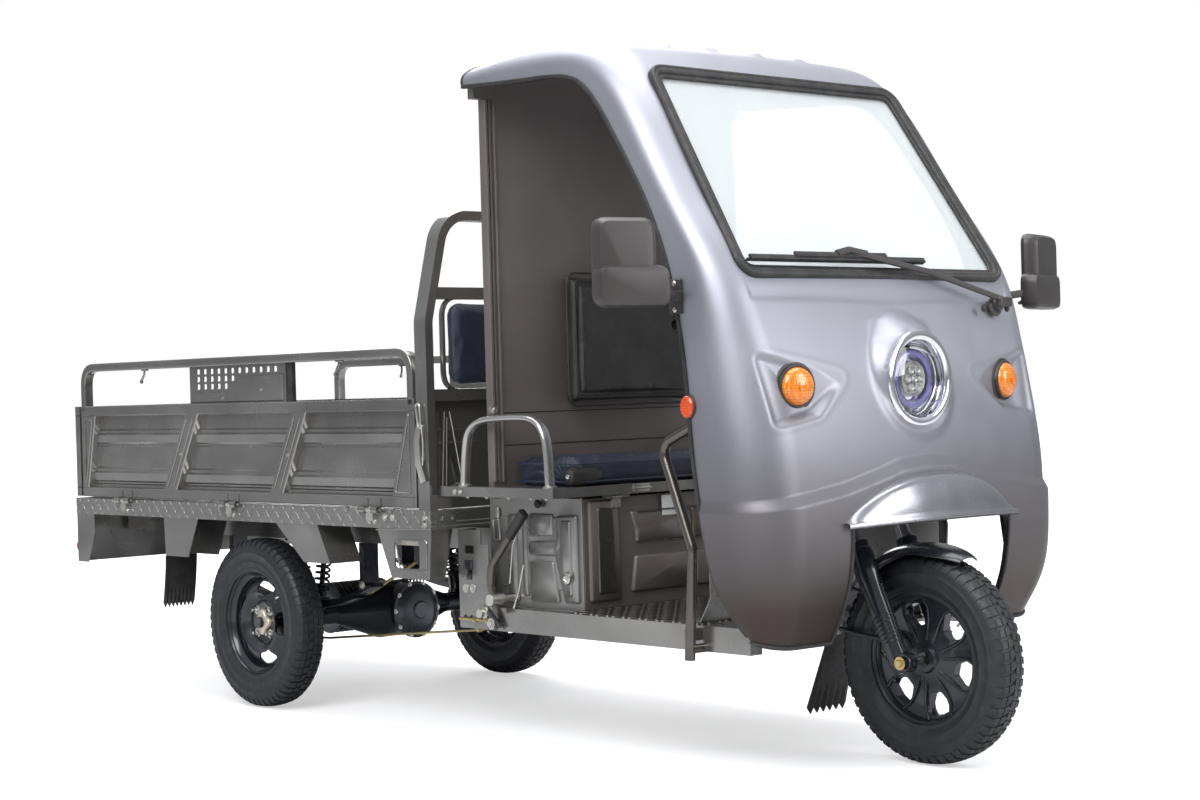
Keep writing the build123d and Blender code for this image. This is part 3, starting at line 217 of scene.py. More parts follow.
def tyre_rubber():
    s = Shader("tyre_rubber", Roughness=0.8)
    dust = s.remap(s.noise(35.0, 5.0), 0.45, 0.75)
    s.colour(s.mix(dust, (0.009, 0.01, 0.013), (0.019, 0.02, 0.023)))
    s.uneven(90.0, 3.0, 0.3, 0.7, 0.42, 0.6)
    s.bump(s.noise(1400.0, 3.0), 0.0003, 0.4)
    return s.mat


def flat_rubber():
    s = Shader("black_rubber", Roughness=0.6)
    s.mottle(25.0, 4.0, 0.4, 0.7, (0.012, 0.012, 0.013), (0.03, 0.028, 0.026))
    s.uneven(60.0, 3.0, 0.3, 0.7, 0.42, 0.62)
    s.soft_edges(0.001)
    s.bump(s.noise(900.0, 2.0), 0.0002, 0.3)
    return s.mat


def vinyl(name, colour, second, rough):
    """Pebbled vinyl with a soft sheen."""
    s = Shader(name, Sheen_Weight=0.06, Sheen_Roughness=0.4)
    cells = s.node("ShaderNodeTexVoronoi", {"Vector": s.coord, "Scale": 520.0}, feature="DISTANCE_TO_EDGE")
    s.mottle(12.0, 4.0, 0.35, 0.65, colour, second)
    s.uneven(40.0, 3.0, 0.3, 0.7, rough - 0.07, rough + 0.1)
    s.bump(s.remap(cells.outputs["Distance"], 0.0, 0.25), 0.0005, 0.5)
    s.bump(s.noise(18.0, 3.0), 0.003, 0.25)
    return s.mat


def screen_glass():
    """A pale, nearly opaque screen: part clear, part a milky film."""
    s = Shader("screen_glass", IOR=1.45, Transmission_Weight=0.52, Specular_IOR_Level=0.05)
    s.mottle(3.0, 3.0, 0.35, 0.7, (0.72, 0.755, 0.77), (0.69, 0.725, 0.74))
    s.uneven(30.0, 4.0, 0.4, 0.8, 0.02, 0.06)
    return s.mat


def clear_lens():
    s = Shader("clear_lens", IOR=1.49, Transmission_Weight=1.0)
    s.mottle(40.0, 2.0, 0.4, 0.6, (0.97, 0.98, 1.0), (0.94, 0.96, 0.99))
    s.uneven(60.0, 2.0, 0.4, 0.8, 0.0, 0.03)
    return s.mat


def lens(name, colour, deep):
    """A moulded lamp lens with a fine grid of prisms, whose paler centres are a painted highlight."""
    s = Shader(name, IOR=1.49, Transmission_Weight=0.35, Coat_Weight=0.6, Coat_Roughness=0.05)
    cells = s.node("ShaderNodeTexVoronoi", {"Vector": s.coord, "Scale": 150.0, "Randomness": 0.3}, feature="F1")
    cells = cells.outputs["Distance"]
    # Painted highlight: each prism is paler at its centre and deeper at its edge, for the glints of a reflector behind
    # the lens.
    s.colour(s.mix(s.remap(cells, 0.1, 0.55), colour, deep))
    s.uneven(80.0, 2.0, 0.3, 0.7, 0.08, 0.18)
    s.bump(cells, 0.001, 0.7)
    return s.mat


def chequer():
    """Tread plate: raised bars that alternate in direction."""
    s = Shader("tread_plate", Metallic=0.85)
    height = s.bars(0.03, (0, 1))
    s.colour(s.mix(height, (0.06, 0.055, 0.05), (0.34, 0.33, 0.31)))
    s.uneven(30.0, 4.0, 0.3, 0.7, 0.3, 0.48)
    s.bump(height, 0.0025, 1.0)
    return s.mat


STRIP = strip_paint()
CAB = cab_paint()
CHROME = metal("chrome", (0.8, 0.81, 0.84), 0.09, 0.05)
ZINC = metal("zinc", (0.6, 0.59, 0.55), 0.3)
BRASS = metal("yellow_zinc", (0.62, 0.5, 0.24), 0.32)
ALLOY = metal("cast_alloy", (0.52, 0.51, 0.49), 0.4, 0.5)
TINT = metal("violet_ring", (0.16, 0.15, 0.38), 0.22, 0.1)
TYRE = tyre_rubber()
RUBBER = flat_rubber()
NAVY = vinyl("navy_vinyl", (0.01, 0.014, 0.03), (0.015, 0.02, 0.04), 0.36)
BLACK_VINYL = vinyl("black_vinyl", (0.011, 0.0095, 0.0085), (0.018, 0.016, 0.014), 0.4)
GLASS = screen_glass()
CLEAR = clear_lens()
AMBER = lens("amber_lens", (1.0, 0.5, 0.06), (0.9, 0.2, 0.0))
RED = lens("red_lens", (0.9, 0.06, 0.03), (0.45, 0.02, 0.01))
ORANGE = lens("orange_lens", (1.0, 0.22, 0.04), (0.8, 0.07, 0.01))
CHEQUER = chequer()

NODE_MATERIALS = {
    FRAME: ["frame", "headboard", "tail_panel", "bed_gussets", "mudflap_brackets", "side_right", "side_left",
            "tailgate", "seat_frame", "brake_bracket"],
    STRIP: ["bed_floor"],
    SILVER: ["battery_box", "leg_shield"],
    CHEQUER: ["footwell_floor"],
    BRONZE: ["leg_guards"],
    GUARD: ["grab_rails"],
    BLACK: ["rear_axle", "leaf_springs", "shock_absorbers", "fork_sliders", "handlebar", "front_fender",
            "front_rim", "rear_rim_right", "rear_rim_left"],
    WALL_AND_BOX_SHADE: ["cab_rear_wall"],
    VISOR: ["visor"],
    PLASTIC: ["mirrors", "instrument_panel", "batteries"],
    CAB: ["cab_shell"],
    CHROME: ["headlamp", "fork"],
    ZINC: ["bed_hinges", "seat_hinges", "front_axle", "handbrake_lever"],
    RUBBER: ["windscreen_seal", "mudflaps"],
    TYRE: ["front_tyre", "rear_tyre_right", "rear_tyre_left"],
    NAVY: ["seat_cushion", "headboard_pad"],
    BLACK_VINYL: ["backrest"],
    GLASS: ["windscreen"],
    CLEAR: ["headlamp_lens"],
    AMBER: ["indicators"],
    ORANGE: ["side_markers"],
    RED: ["tail_lamps"],
}
for mat, names in NODE_MATERIALS.items():
    for name in names:
        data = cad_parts[name].data
        data.materials.clear()
        data.materials.append(mat)


# -------------------------------------------------------------- mesh building
def circle(r, n=12):
    return [(r * cos(2 * pi * k / n), r * sin(2 * pi * k / n)) for k in range(n)]


def round_corners(points, radius, n=5, closed=True):
    """A line or outline with its corners replaced by arcs; radius may be one for each corner."""
    points = [Vector(p) for p in points]
    count = len(points)
    result = []
    for i, p in enumerate(points):
        if not closed and i in (0, count - 1):
            result.append(p)
            continue
        r = radius[i] if isinstance(radius, (list, tuple)) else radius
        a, b = points[i - 1] - p, points[(i + 1) % count] - p
        half = a.angle(b) / 2
        cut = min(r / tan(half), a.length * 0.49, b.length * 0.49)
        start, end = p + a.normalized() * cut, p + b.normalized() * cut
        for k in range(n + 1):
            t = k / n
            result.append(start.lerp(p, t).lerp(p.lerp(end, t), t))
    return result


def filleted(outline, radius, n):
    """A flat outline of (u, v) pairs with rounded corners."""
    return [(p.x, p.y) for p in round_corners([(*q, 0) for q in outline], radius, n)]


def rect(w, h, r=0.0, n=4):
    corners = [(-w / 2, -h / 2), (w / 2, -h / 2), (w / 2, h / 2), (-w / 2, h / 2)]
    return filleted(corners, r, n) if r else corners


def turns(n):
    """The angles of n equal steps round a circle."""
    return np.linspace(0, 2 * pi, n, endpoint=False)


def oval(a, b, n):
    return [(a * cos(t), b * sin(t)) for t in turns(n)]


def band(inner, outer, half):
    """The section of a plain ring, to be turned."""
    return [(inner, -half), (outer, -half), (outer, half), (inner, half)]


def on_wheel(centre, angle, r, w=0.0):
    """A point r from a wheel's axle and w along it; the angle runs forward from the top."""
    return centre + Vector((r * sin(angle), w, r * cos(angle)))


def linked(name, data):
    obj = bpy.data.objects.new(name, data)
    bpy.context.scene.collection.objects.link(obj)
    return obj


def smooth(value, low, high):
    """0 below low, 1 above high, and a smooth rise between them."""
    t = np.clip((value - low) / (high - low), 0.0, 1.0)
    return t * t * (3 - 2 * t)


class Mesh:
    """Points and faces of one piece, in metres from the rear axle and the ground."""

    def __init__(self):
        self.points, self.faces = [], []

    def add(self, points, faces):
        base = len(self.points)
        self.points += [tuple(p) for p in points]
        self.faces += [tuple(base + i for i in face) for face in faces]
        return self

    def rows(self, rows, around=False, caps=False):
        """Quads between rows of points, each row a loop if around."""
        n = len(rows[0])
        faces = []
        for r in range(len(rows) - 1):
            for i in range(n if around else n - 1):
                j = (i + 1) % n
                faces.append((r * n + i, r * n + j, (r + 1) * n + j, (r + 1) * n + i))
        if caps:
            last = (len(rows) - 1) * n
            faces += [tuple(range(n)), tuple(last + i for i in range(n))]
        return self.add([p for row in rows for p in row], faces)

    def turned(self, profile, centre, axis, n=32):
        """A line of (radius, height) points turned about an axis."""
        centre, axis = Vector(centre), Vector(axis).normalized()
        side = axis.orthogonal().normalized()
        up = axis.cross(side)
        turn = [side * cos(2 * pi * k / n) + up * sin(2 * pi * k / n) for k in range(n)]
        return self.rows([[centre + axis * h + t * r for t in turn] for r, h in profile], around=True)

    def swept(self, path, outline, up=None, closed=False):
        """An outline carried along a path; up keeps it level, or else it turns with the path."""
        path = [Vector(p) for p in path]
        last = len(path) - 1
        rows, side = [], None
        for i, p in enumerate(path):
            before = path[i - 1] if i or closed else p
            after = path[i + 1] if i < last else (path[0] if closed else p)
            ahead = (after - before).normalized()
            if up is not None:
                side = ahead.cross(Vector(up)).normalized()
            elif side is None:
                side = ahead.orthogonal().normalized()
            else:
                side = (side - ahead * side.dot(ahead)).normalized()
            top = side.cross(ahead)
            rows.append([p + side * a[0] + top * a[1] for a in outline])
        if closed:
            rows.append(rows[0])
        return self.rows(rows, around=True, caps=not closed)

    def tube(self, path, r, n=10):
        return self.swept(path, circle(r, n))

    def loop(self, path, r, n):
        """A tube round a closed path, lapped over its start."""
        return self.tube(path + path[:2], r, n)

    def prism(self, outline, origin, u, v, depth, bevel=0.0):
        """A flat outline in the directions u and v, drawn out square to them."""
        origin, u, v = Vector(origin), Vector(u), Vector(v)
        w = u.cross(v).normalized() * (1 if depth > 0 else -1)
        depth = abs(depth)

        levels = [(outline, 0), (outline, depth - bevel)] + ([(shrink(outline, bevel), depth)] if bevel else [])
        rings = [[origin + u * p[0] + v * p[1] + w * height for p in points] for points, height in levels]
        return self.rows(rings, around=True, caps=True)

    def block(self, x0, x1, y0, y1, z0, z1, bevel=0.0):
        if bevel:
            shape = rect(abs(x1 - x0), abs(y1 - y0), bevel, 3)
            origin = ((x0 + x1) / 2, (y0 + y1) / 2, min(z0, z1))
            return self.prism(shape, origin, X, Y, abs(z1 - z0), bevel * 0.7)
        corners = [(x, y, z) for x in (x0, x1) for y in (y0, y1) for z in (z0, z1)]
        return self.add(corners, [(0, 1, 3, 2), (4, 6, 7, 5), (0, 4, 5, 1), (2, 3, 7, 6), (0, 2, 6, 4), (1, 5, 7, 3)])

    def bolt(self, place, normal, r=0.007):
        """A washer, a hexagon head and its crown."""
        place, normal = Vector(place), Vector(normal).normalized()
        self.turned([(0, 0), (1.7 * r, 0), (1.7 * r, 0.2 * r), (0, 0.2 * r)], place, normal, 18)
        head = [(r, 0.15 * r), (r, 0.85 * r), (0.82 * r, r), (0, r)]
        return self.turned(head, place, normal, 6)

    def object(self, name):
        mesh = bpy.data.meshes.new(name)
        mesh.from_pydata([at(*p) for p in self.points], [], self.faces)
        bm = bmesh.new()
        bm.from_mesh(mesh)
        bmesh.ops.remove_doubles(bm, verts=bm.verts, dist=1e-6)
        bmesh.ops.dissolve_degenerate(bm, edges=bm.edges, dist=1e-7)
        bmesh.ops.recalc_face_normals(bm, faces=bm.faces)
        bm.to_mesh(mesh)
        bm.free()
        return linked(name, mesh)


def shrink(outline, by):
    """A closed outline moved inwards along its corner normals."""
    pts = [Vector((p[0], p[1])) for p in outline]
    area = sum(a.x * b.y - b.x * a.y for a, b in zip(pts, pts[1:] + pts[:1]))
    sign = 1 if area > 0 else -1
    result = []
    for i, p in enumerate(pts):
        a, b = (p - pts[i - 1]).normalized(), (pts[(i + 1) % len(pts)] - p).normalized()
        normal = Vector((-(a.y + b.y), a.x + b.x))
        normal = normal.normalized() if normal.length > 1e-9 else Vector((-a.y, a.x))
        scale = max(0.5, normal.dot(Vector((-a.y, a.x))))
        result.append(p + normal * (sign * by / scale))
    return result


def settle(obj):
    """Applies an object's modifiers to its mesh."""
    bpy.context.view_layer.update()
    graph = bpy.context.evaluated_depsgraph_get()
    data = bpy.data.meshes.new_from_object(obj.evaluated_get(graph))
    obj.modifiers.clear()
    obj.data = data
    return obj


def carve(target, *cutters, operation="DIFFERENCE"):
    for cutter in cutters:
        mod = target.modifiers.new("carve", "BOOLEAN")
        mod.object, mod.operation, mod.solver = cutter, operation, "EXACT"
        settle(target)
        bpy.data.objects.remove(cutter)
    return target


def join(target, other, mat):
    """Makes one object of two, both of one material."""
    for obj in (target, other):
        obj.data.materials.append(mat)
    with bpy.context.temp_override(active_object=target, selected_editable_objects=[target, other]):
        bpy.ops.object.join()
    return target


def put(mesh, name, mat, body="chassis", replaces=(), angle=35):
    """Makes a piece of the vehicle, with its material, body and the node it stands for."""
    obj = mesh.object(name) if isinstance(mesh, Mesh) else mesh
    obj.data.materials.clear()
    obj.data.materials.append(mat)
    obj.data.shade_smooth()
    obj.data.set_sharp_from_angle(angle=radians(angle))
    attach(obj, body)
    if replaces:
        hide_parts(*replaces)
    return obj


# ------------------------------------------------------------------ cab moulding
# Centreline x and z, door edge x and z, half width, corner across and along, crown (mm).
STATIONS = np.array([
    (2105, 318, 2062, 332, 490, 80, 34, 4), (2164, 430, 2012, 440, 540, 105, 98, 9),
    (2190, 585, 1976, 600, 558, 125, 122, 14), (2186, 740, 1958, 755, 565, 130, 130, 16),
    (2156, 900, 1944, 925, 565, 125, 124, 16), (2111, 1050, 1924, 1065, 564, 105, 102, 12),
    (2062, 1180, 1893, 1190, 562, 90, 80, 8), (1945, 1362, 1818, 1360, 556, 88, 70, 6),
    (1828, 1542, 1712, 1520, 548, 88, 68, 6), (1718, 1702, 1604, 1655, 540, 100, 72, 6),
    (1640, 1770, 1545, 1694, 535, 112, 74, 7), (1520, 1808, 1455, 1712, 530, 120, 74, 7),
    (1400, 1818, 1350, 1717, 528, 124, 74, 7), (1250, 1815, 1215, 1723, 525, 124, 66, 7),
    (1088, 1800, 1085, 1731, 522, 120, 50, 6),
], float)
REACH = np.concatenate([[0.0], np.cumsum(np.hypot(*np.diff(STATIONS[:, :2], axis=0).T))])
LENGTH = REACH[-1]


def natural_spline(x, y):
    """Second derivatives of a natural cubic spline through each column of y."""
    n, h = len(x), np.diff(x)
    a, rhs = np.eye(n), np.zeros_like(y)
    for i in range(1, n - 1):
        a[i, i - 1:i + 2] = (h[i - 1], 2 * (h[i - 1] + h[i]), h[i])
        rhs[i] = 6 * ((y[i + 1] - y[i]) / h[i] - (y[i] - y[i - 1]) / h[i - 1])
    return np.linalg.solve(a, rhs)


BENDS = natural_spline(REACH, STATIONS)


def station(along):
    i = int(np.clip(np.searchsorted(REACH, along) - 1, 0, len(REACH) - 2))
    h = REACH[i + 1] - REACH[i]
    a, b = (REACH[i + 1] - along) / h, (along - REACH[i]) / h
    bend = ((a**3 - a) * BENDS[i] + (b**3 - b) * BENDS[i + 1]) * h * h / 6
    return a * STATIONS[i] + b * STATIONS[i + 1] + bend


def bezier(points, n):
    t = np.linspace(0, 1, n)[:, None]
    p = [np.array(q, float) for q in points]
    return (1 - t)**3 * p[0] + 3 * t * (1 - t)**2 * p[1] + 3 * t * t * (1 - t) * p[2] + t**3 * p[3]


def across_cab(along, inset=0.0, deeper=0.0, proud=0.0, counts=(8, 26, 150)):
    """Points across the moulding, from the right door edge round to the left one (mm)."""
    fx, fz, ex, ez, half, corner, back, crown = station(along)
    depth = hypot(ex - fx, ez - fz)
    ux, uz = (ex - fx) / depth, (ez - fz) / depth
    half = half - inset + 0.3 * proud
    corner = max(corner - inset, 8)
    turn = crown + max(back - inset, 8)
    flat = half - corner
    lean = 2 * crown / flat
    third = -crown / 3 - proud
    end = depth + deeper - inset
    pull = 0.55
    arc = [(crown - proud, flat), (crown - proud + lean * corner * pull, flat + corner * pull),
           (turn - (turn - crown) * pull, half), (turn, half)]
    cheek = np.column_stack([np.linspace(turn, end, counts[0]), np.full(counts[0], half)])
    left = np.vstack([bezier(arc, counts[1])[:-1], cheek])
    right = left[::-1] * (1, -1)
    bow = [(crown - proud, -flat), (third, -flat / 3), (third, flat / 3), (crown - proud, flat)]
    front = bezier(bow, counts[2])
    uv = np.vstack([right[:-1], front[:-1], left])
    return np.column_stack([fx + ux * (uv[:, 0] + inset), uv[:, 1], fz + uz * (uv[:, 0] + inset)])


CHIN = np.array([(0, 745), (100, 738), (200, 713), (300, 690), (450, 669), (620, 650)], float)


def chin_height(y):
    return np.interp(np.abs(y), CHIN[:, 0], CHIN[:, 1])


POCKET = np.array(filleted([(510, 1008), (488, 824), (345, 850), (222, 950)], 20.0, 6))


def pocket_depth(y, z):
    """How far inside the outline of an indicator's pocket a point is, negative outside (mm)."""
    p = np.column_stack([np.abs(y), z])
    best, inside = np.full(len(p), 1e9), np.zeros(len(p), bool)
    for a, b in zip(POCKET, np.roll(POCKET, -1, axis=0)):
        ab = b - a
        t = np.clip(((p - a) @ ab) / max(ab @ ab, 1e-9), 0, 1)
        best = np.minimum(best, np.hypot(*(p - a - t[:, None] * ab).T))
        cross = (a[1] > p[:, 1]) != (b[1] > p[:, 1])
        at_x = a[0] + (p[:, 1] - a[1]) * ab[0] / (ab[1] if ab[1] else 1e-9)
        inside ^= cross & (p[:, 0] < at_x)
    return np.where(inside, best, -best)


def pocket_floor(y, middle):
    """The X of a plane under the pockets, leaning back outwards from its middle (mm)."""
    return middle - (np.abs(y) - 226) * 0.194


def outer_skin(along):
    """The moulding's outside with its chin panel, headlamp collar and roof ribs (mm)."""
    plain, proud = across_cab(along), across_cab(along, proud=18.0)
    drop = np.clip((chin_height(plain[:, 1]) + 5 - plain[:, 2]) / 28.0, 0.0, 1.0) * (plain[:, 0] > 1900)
    drop = 0.75 * drop + 0.25 * smooth(drop, 0.0, 1.0)
    p = plain + (proud - plain) * drop[:, None]
    radius = np.hypot(p[:, 1], p[:, 2] - 1000 * LAMP_Z)
    cone = np.where(radius < 118, 2168, 2098 + 70 * (163 - radius) / 45)
    ahead = p[:, 0] > 2000
    gap = np.clip((p[:, 0] - cone) / 12, -1, 1)
    swell = np.maximum(p[:, 0], cone) + 3.0 * (1 - np.abs(gap))**2
    p[:, 0] = np.where((radius < 205) & ahead, swell, p[:, 0])
    p[:, 0] += np.where(ahead, 6.5 * np.exp(-((radius - 130) / 14)**2), 0.0)
    inside = pocket_depth(p[:, 1], p[:, 2])
    deep = p[:, 0] - pocket_floor(p[:, 1], 2151)
    deep = np.clip(deep, 0, 24 * (1 - 0.6 * smooth(np.abs(p[:, 1]), 400, 500)))
    p[:, 0] -= np.where(ahead, deep * smooth(inside, -3, 20), 0.0)
    p[:, 0] += np.where(ahead, 0.7 * np.exp(-((inside + 8) / 7)**2), 0.0)
    crease = 1130 - 9 * np.exp(-(p[:, 1] / 190)**2) - p[:, 2]
    fold = -3.0 * smooth(-crease, -8, 2) * (1 - smooth(-crease, 6, 46))
    p[:, 0] += np.where(ahead & (np.abs(p[:, 1]) < 480), fold, 0.0)
    for y in (-250, -85, 85, 250):
        end = np.abs(p[:, 0] - 1375) - 192
        edge = np.hypot(p[:, 1] - y, np.maximum(end, 0))
        p[:, 2] += 6.0 * (1 - smooth(edge, 15, 24)) * (p[:, 2] > 1700)
    return p


def closed_skin(name, rows):
    """A solid between the skin's rows (mm) and the plane of the door edge."""
    return Mesh().rows([row / 1000 for row in rows], around=True, caps=True).object(name)


SCREEN_LOW, SCREEN_HIGH = Vector((2.058, 0, 1.179)), Vector((1.713, 0, 1.712))
SCREEN_UP = (SCREEN_HIGH - SCREEN_LOW).normalized()
SCREEN_OUT = Vector((SCREEN_UP.z, 0, -SCREEN_UP.x))
SCREEN_MID = (SCREEN_LOW + SCREEN_HIGH) / 2


def screen_outline(inset, n=8):
    tall = (SCREEN_HIGH - SCREEN_LOW).length / 2 - inset
    low, high = 0.49 - inset, 0.455 - inset
    return filleted([(-low, -tall), (low, -tall), (high, tall), (-high, tall)], 0.055 - inset * 0.9, n)


def on_screen(y, up, out):
    """A point y across the screen from its middle, up along it and out from it."""
    return SCREEN_MID + Vector((0, y, 0)) + SCREEN_UP * up + SCREEN_OUT * out


def make_cab():
    spans = ((0, LENGTH, 104), (290, 745, 108), (790, 870, 18))
    fine = np.unique(np.concatenate([np.linspace(*span) for span in spans]))
    outside = closed_skin("cab_shell_skin", [outer_skin(a) for a in fine])
    rows = []
    for a in np.linspace(-25, LENGTH + 25, 70):
        plain, proud = (across_cab(a, 5, 30, d, (4, 10, 60)) for d in (0, 10.0))
        row = plain + (proud - plain) * smooth(chin_height(plain[:, 1]) - 5 - plain[:, 2], -1, 17)[:, None]
        dip = np.minimum(row[:, 0], pocket_floor(row[:, 1], 2146)) - row[:, 0]
        row[:, 0] += dip * smooth(pocket_depth(row[:, 1], row[:, 2]), -14, 0) * (row[:, 0] > 2000)
        rows.append(row)
    hollow = closed_skin("hollow", rows)
    swell = Mesh().turned([(0, 0), (0.158, 0), (0.113, 0.065), (0, 0.065)], (2.098, 0, LAMP_Z), X, 64)
    carve(hollow, swell.object("swell"), operation="UNION")
    arch = filleted([(-0.292, 0), (0.292, 0), (0.292, 0.609), (-0.292, 0.609)], [0.001, 0.001, 0.06, 0.06], 10)
    cut = Mesh().prism(arch, (1.866, 0, 0), Y, Z, 0.6)
    hole = Mesh().prism(screen_outline(0), SCREEN_MID - SCREEN_OUT * 0.06, Y, SCREEN_UP, 0.12)
    lamp = Mesh().turned([(0, 0), (0.1103, 0), (0.1103, 0.3), (0, 0.3)], (2.0, 0, LAMP_Z), X, 72)
    carve(outside, hollow, cut.object("arch"), hole.object("hole"), lamp.object("lamp"))
    put(outside, "cab_moulding", CAB, replaces=["cab_shell"], angle=32)


def edge_line(side, count=90):
    """The moulding's door edge from its foot to the roof's rear lip."""
    edges = [station(a)[2:5] for a in np.linspace(20, LENGTH - 4, count)]
    return [(x / 1000 - 0.001, side * (half - 2.5) / 1000, z / 1000) for x, z, half in edges]


def make_cab_trim():
    trim = Mesh()
    for side in SIDES:
        trim.swept(edge_line(side), rect(0.011, 0.015, 0.004, 2), up=Y)
    rear = [p / 1000 for p in across_cab(LENGTH - 1, 2, 0)]
    trim.swept([(1.0855, p[1], p[2]) for p in rear if p[2] > 1.735], rect(0.008, 0.01, 0.003, 2), up=X)
    put(trim, "door_edge_trim", RUBBER)

    seal = Mesh()
    beads = ((0.01, 0.026, 0.018, 0.002), (0.004, 0.01, 0.011, 0.0075), (0.026, 0.016, 0.008, 0.0))
    for inset, wide, thick, out in beads:
        path = [on_screen(y, up, out) for y, up in screen_outline(inset)]
        seal.swept(path, rect(wide, thick, min(wide, thick) * 0.45, 4), up=SCREEN_OUT, closed=True)
    put(seal, "screen_gasket", RUBBER, replaces=["windscreen_seal"])

    edge = screen_outline(0.018)
    levels = ((0.1, -0.006), (1, -0.006), (1, -0.011), (0.1, -0.011))
    rows = [[on_screen(y * share, up * share, out) for y, up in edge] for share, out in levels]
    pane = Mesh().rows(rows, around=True, caps=True)
    put(pane, "screen_pane", GLASS, replaces=["windscreen"])


def make_lamps():
    """The headlamp, the round indicators and the side reflectors."""
    centre, ahead = (2.16, 0, LAMP_Z), X
    bezel = Mesh()
    profile = [(0.1095, -0.055), (0.1095, 0.006), (0.1165, 0.009), (0.1185, 0.0125), (0.116, 0.0155), (0.109, 0.0175),
               (0.104, 0.0175), (0.099, 0.016), (0.095, 0.012), (0.0925, 0.002), (0.0925, -0.01), (0.088, -0.016),
               (0.086, -0.024), (0.078, -0.03), (0.064, -0.034), (0, -0.034)]
    bezel.turned(profile, centre, ahead, 96)
    back = [(0, -0.08), (0.06, -0.08), (0.1, -0.055), (0.1095, -0.055)]
    bezel.turned(back, centre, ahead, 96)
    put(bezel, "headlamp_bezel", CHROME, replaces=["headlamp"], angle=30)
    brow, lids = Mesh(), []
    for f in np.linspace(0, 1, 8):
        line = []
        for t in np.linspace(-0.04 * pi, pi, 48):
            y, z = 0.0925 * cos(t), 0.0925 * sin(t)
            foot = max(min(0.052 + 0.018 * sin(t) - 0.014 * cos(t), z - 0.002), z * 0.2)
            line.append((2.1475 + 0.016 * sin(f * pi / 2), y * (1 - 0.06 * f), LAMP_Z + z + (foot - z) * f))
        lids.append(line)
    lids.append([(x - 0.006, y, z + 0.001) for x, y, z in lids[-1]])
    brow.rows(lids)
    put(brow, "headlamp_brow", CHROME, angle=60)
    section = [(0.062, -0.024), (0.071, -0.02), (0.075, -0.014), (0.071, -0.009), (0.062, -0.008), (0.056, -0.012),
               (0.054, -0.024), (0.062, -0.024)]
    ring = Mesh().turned(section, centre, ahead, 72)
    put(ring, "headlamp_ring", TINT)
    unit = Mesh()
    unit.turned([(0, -0.014), (0.036, -0.014), (0.041, -0.008), (0.0435, -0.01), (0.0435, -0.034)], centre, ahead, 48)
    cup = [(0.0112, -0.014), (0.0108, -0.006), (0.0092, -0.005), (0.0045, -0.012), (0.0035, -0.009), (0, -0.008)]
    for y, z in [(0, 0)] + circle(0.0235, 6):
        unit.turned(cup, (centre[0], y, LAMP_Z + z), ahead, 20)
    for y, z in circle(0.079, 16):
        unit.block(2.126, 2.1385, y - 0.002, y + 0.002, LAMP_Z + z - 0.004, LAMP_Z + z + 0.004)
    put(unit, "headlamp_cluster", ALLOY)
    front = Mesh()
    dome = [(0.0915, -0.004), (0.0915, 0.001), (0.08, 0.006), (0.06, 0.01), (0.035, 0.0125), (0, 0.0135)]
    inside = [(0, 0.0105), (0.035, 0.0095), (0.06, 0.007), (0.08, 0.003), (0.088, -0.004), (0.0915, -0.004)]
    front.turned(dome + inside, centre, ahead, 72)
    put(front, "headlamp_glass", CLEAR, replaces=["headlamp_lens"])

    amber, rim, cups = Mesh(), Mesh(), Mesh()
    lean = radians(11)
    lip = [(0.0455, -0.004), (0.0455, 0.012), (0.0485, 0.0125), (0.051, 0.008), (0.052, -0.004)]
    for side in SIDES:
        out = Vector((cos(lean), side * sin(lean), 0))
        place = Vector((2.151 - 0.162 * tan(lean), side * 0.388, 0.922))
        amber.turned([(0.0, 0.03), (0.018, 0.0295), (0.032, 0.026), (0.041, 0.02), (0.045, 0.012), (0.045, 0.0)],
                     place, out, 40)
        amber.turned([(0.01, 0.029), (0.0105, 0.0325), (0.005, 0.0335), (0, 0.0335)], place, out, 20)
        rim.turned(lip, place, out, 40)
        cups.turned([(0.0515, -0.003), (0.052, 0.004), (0.056, 0.0035), (0.06, -0.003)], place, out, 40)
    put(amber, "indicator_lenses", AMBER, replaces=["indicators"])
    put(rim, "indicator_rims", RUBBER)
    put(cups, "indicator_cups", PLASTIC)

    marker, back = Mesh(), Mesh()
    for side in SIDES:
        shape, u = oval(0.02, 0.026, 32), (side, 0, 0)
        wider = [(p[0] * 1.15, p[1] * 1.12) for p in shape]
        back.prism(wider, (1.948, side * 0.56, 0.881), u, Z, -0.01, 0.002)
        marker.prism(shape, (1.948, side * 0.568, 0.881), u, Z, -0.0095, 0.003)
    put(marker, "side_reflectors", ORANGE, replaces=["side_markers"])
    put(back, "reflector_backs", RUBBER)


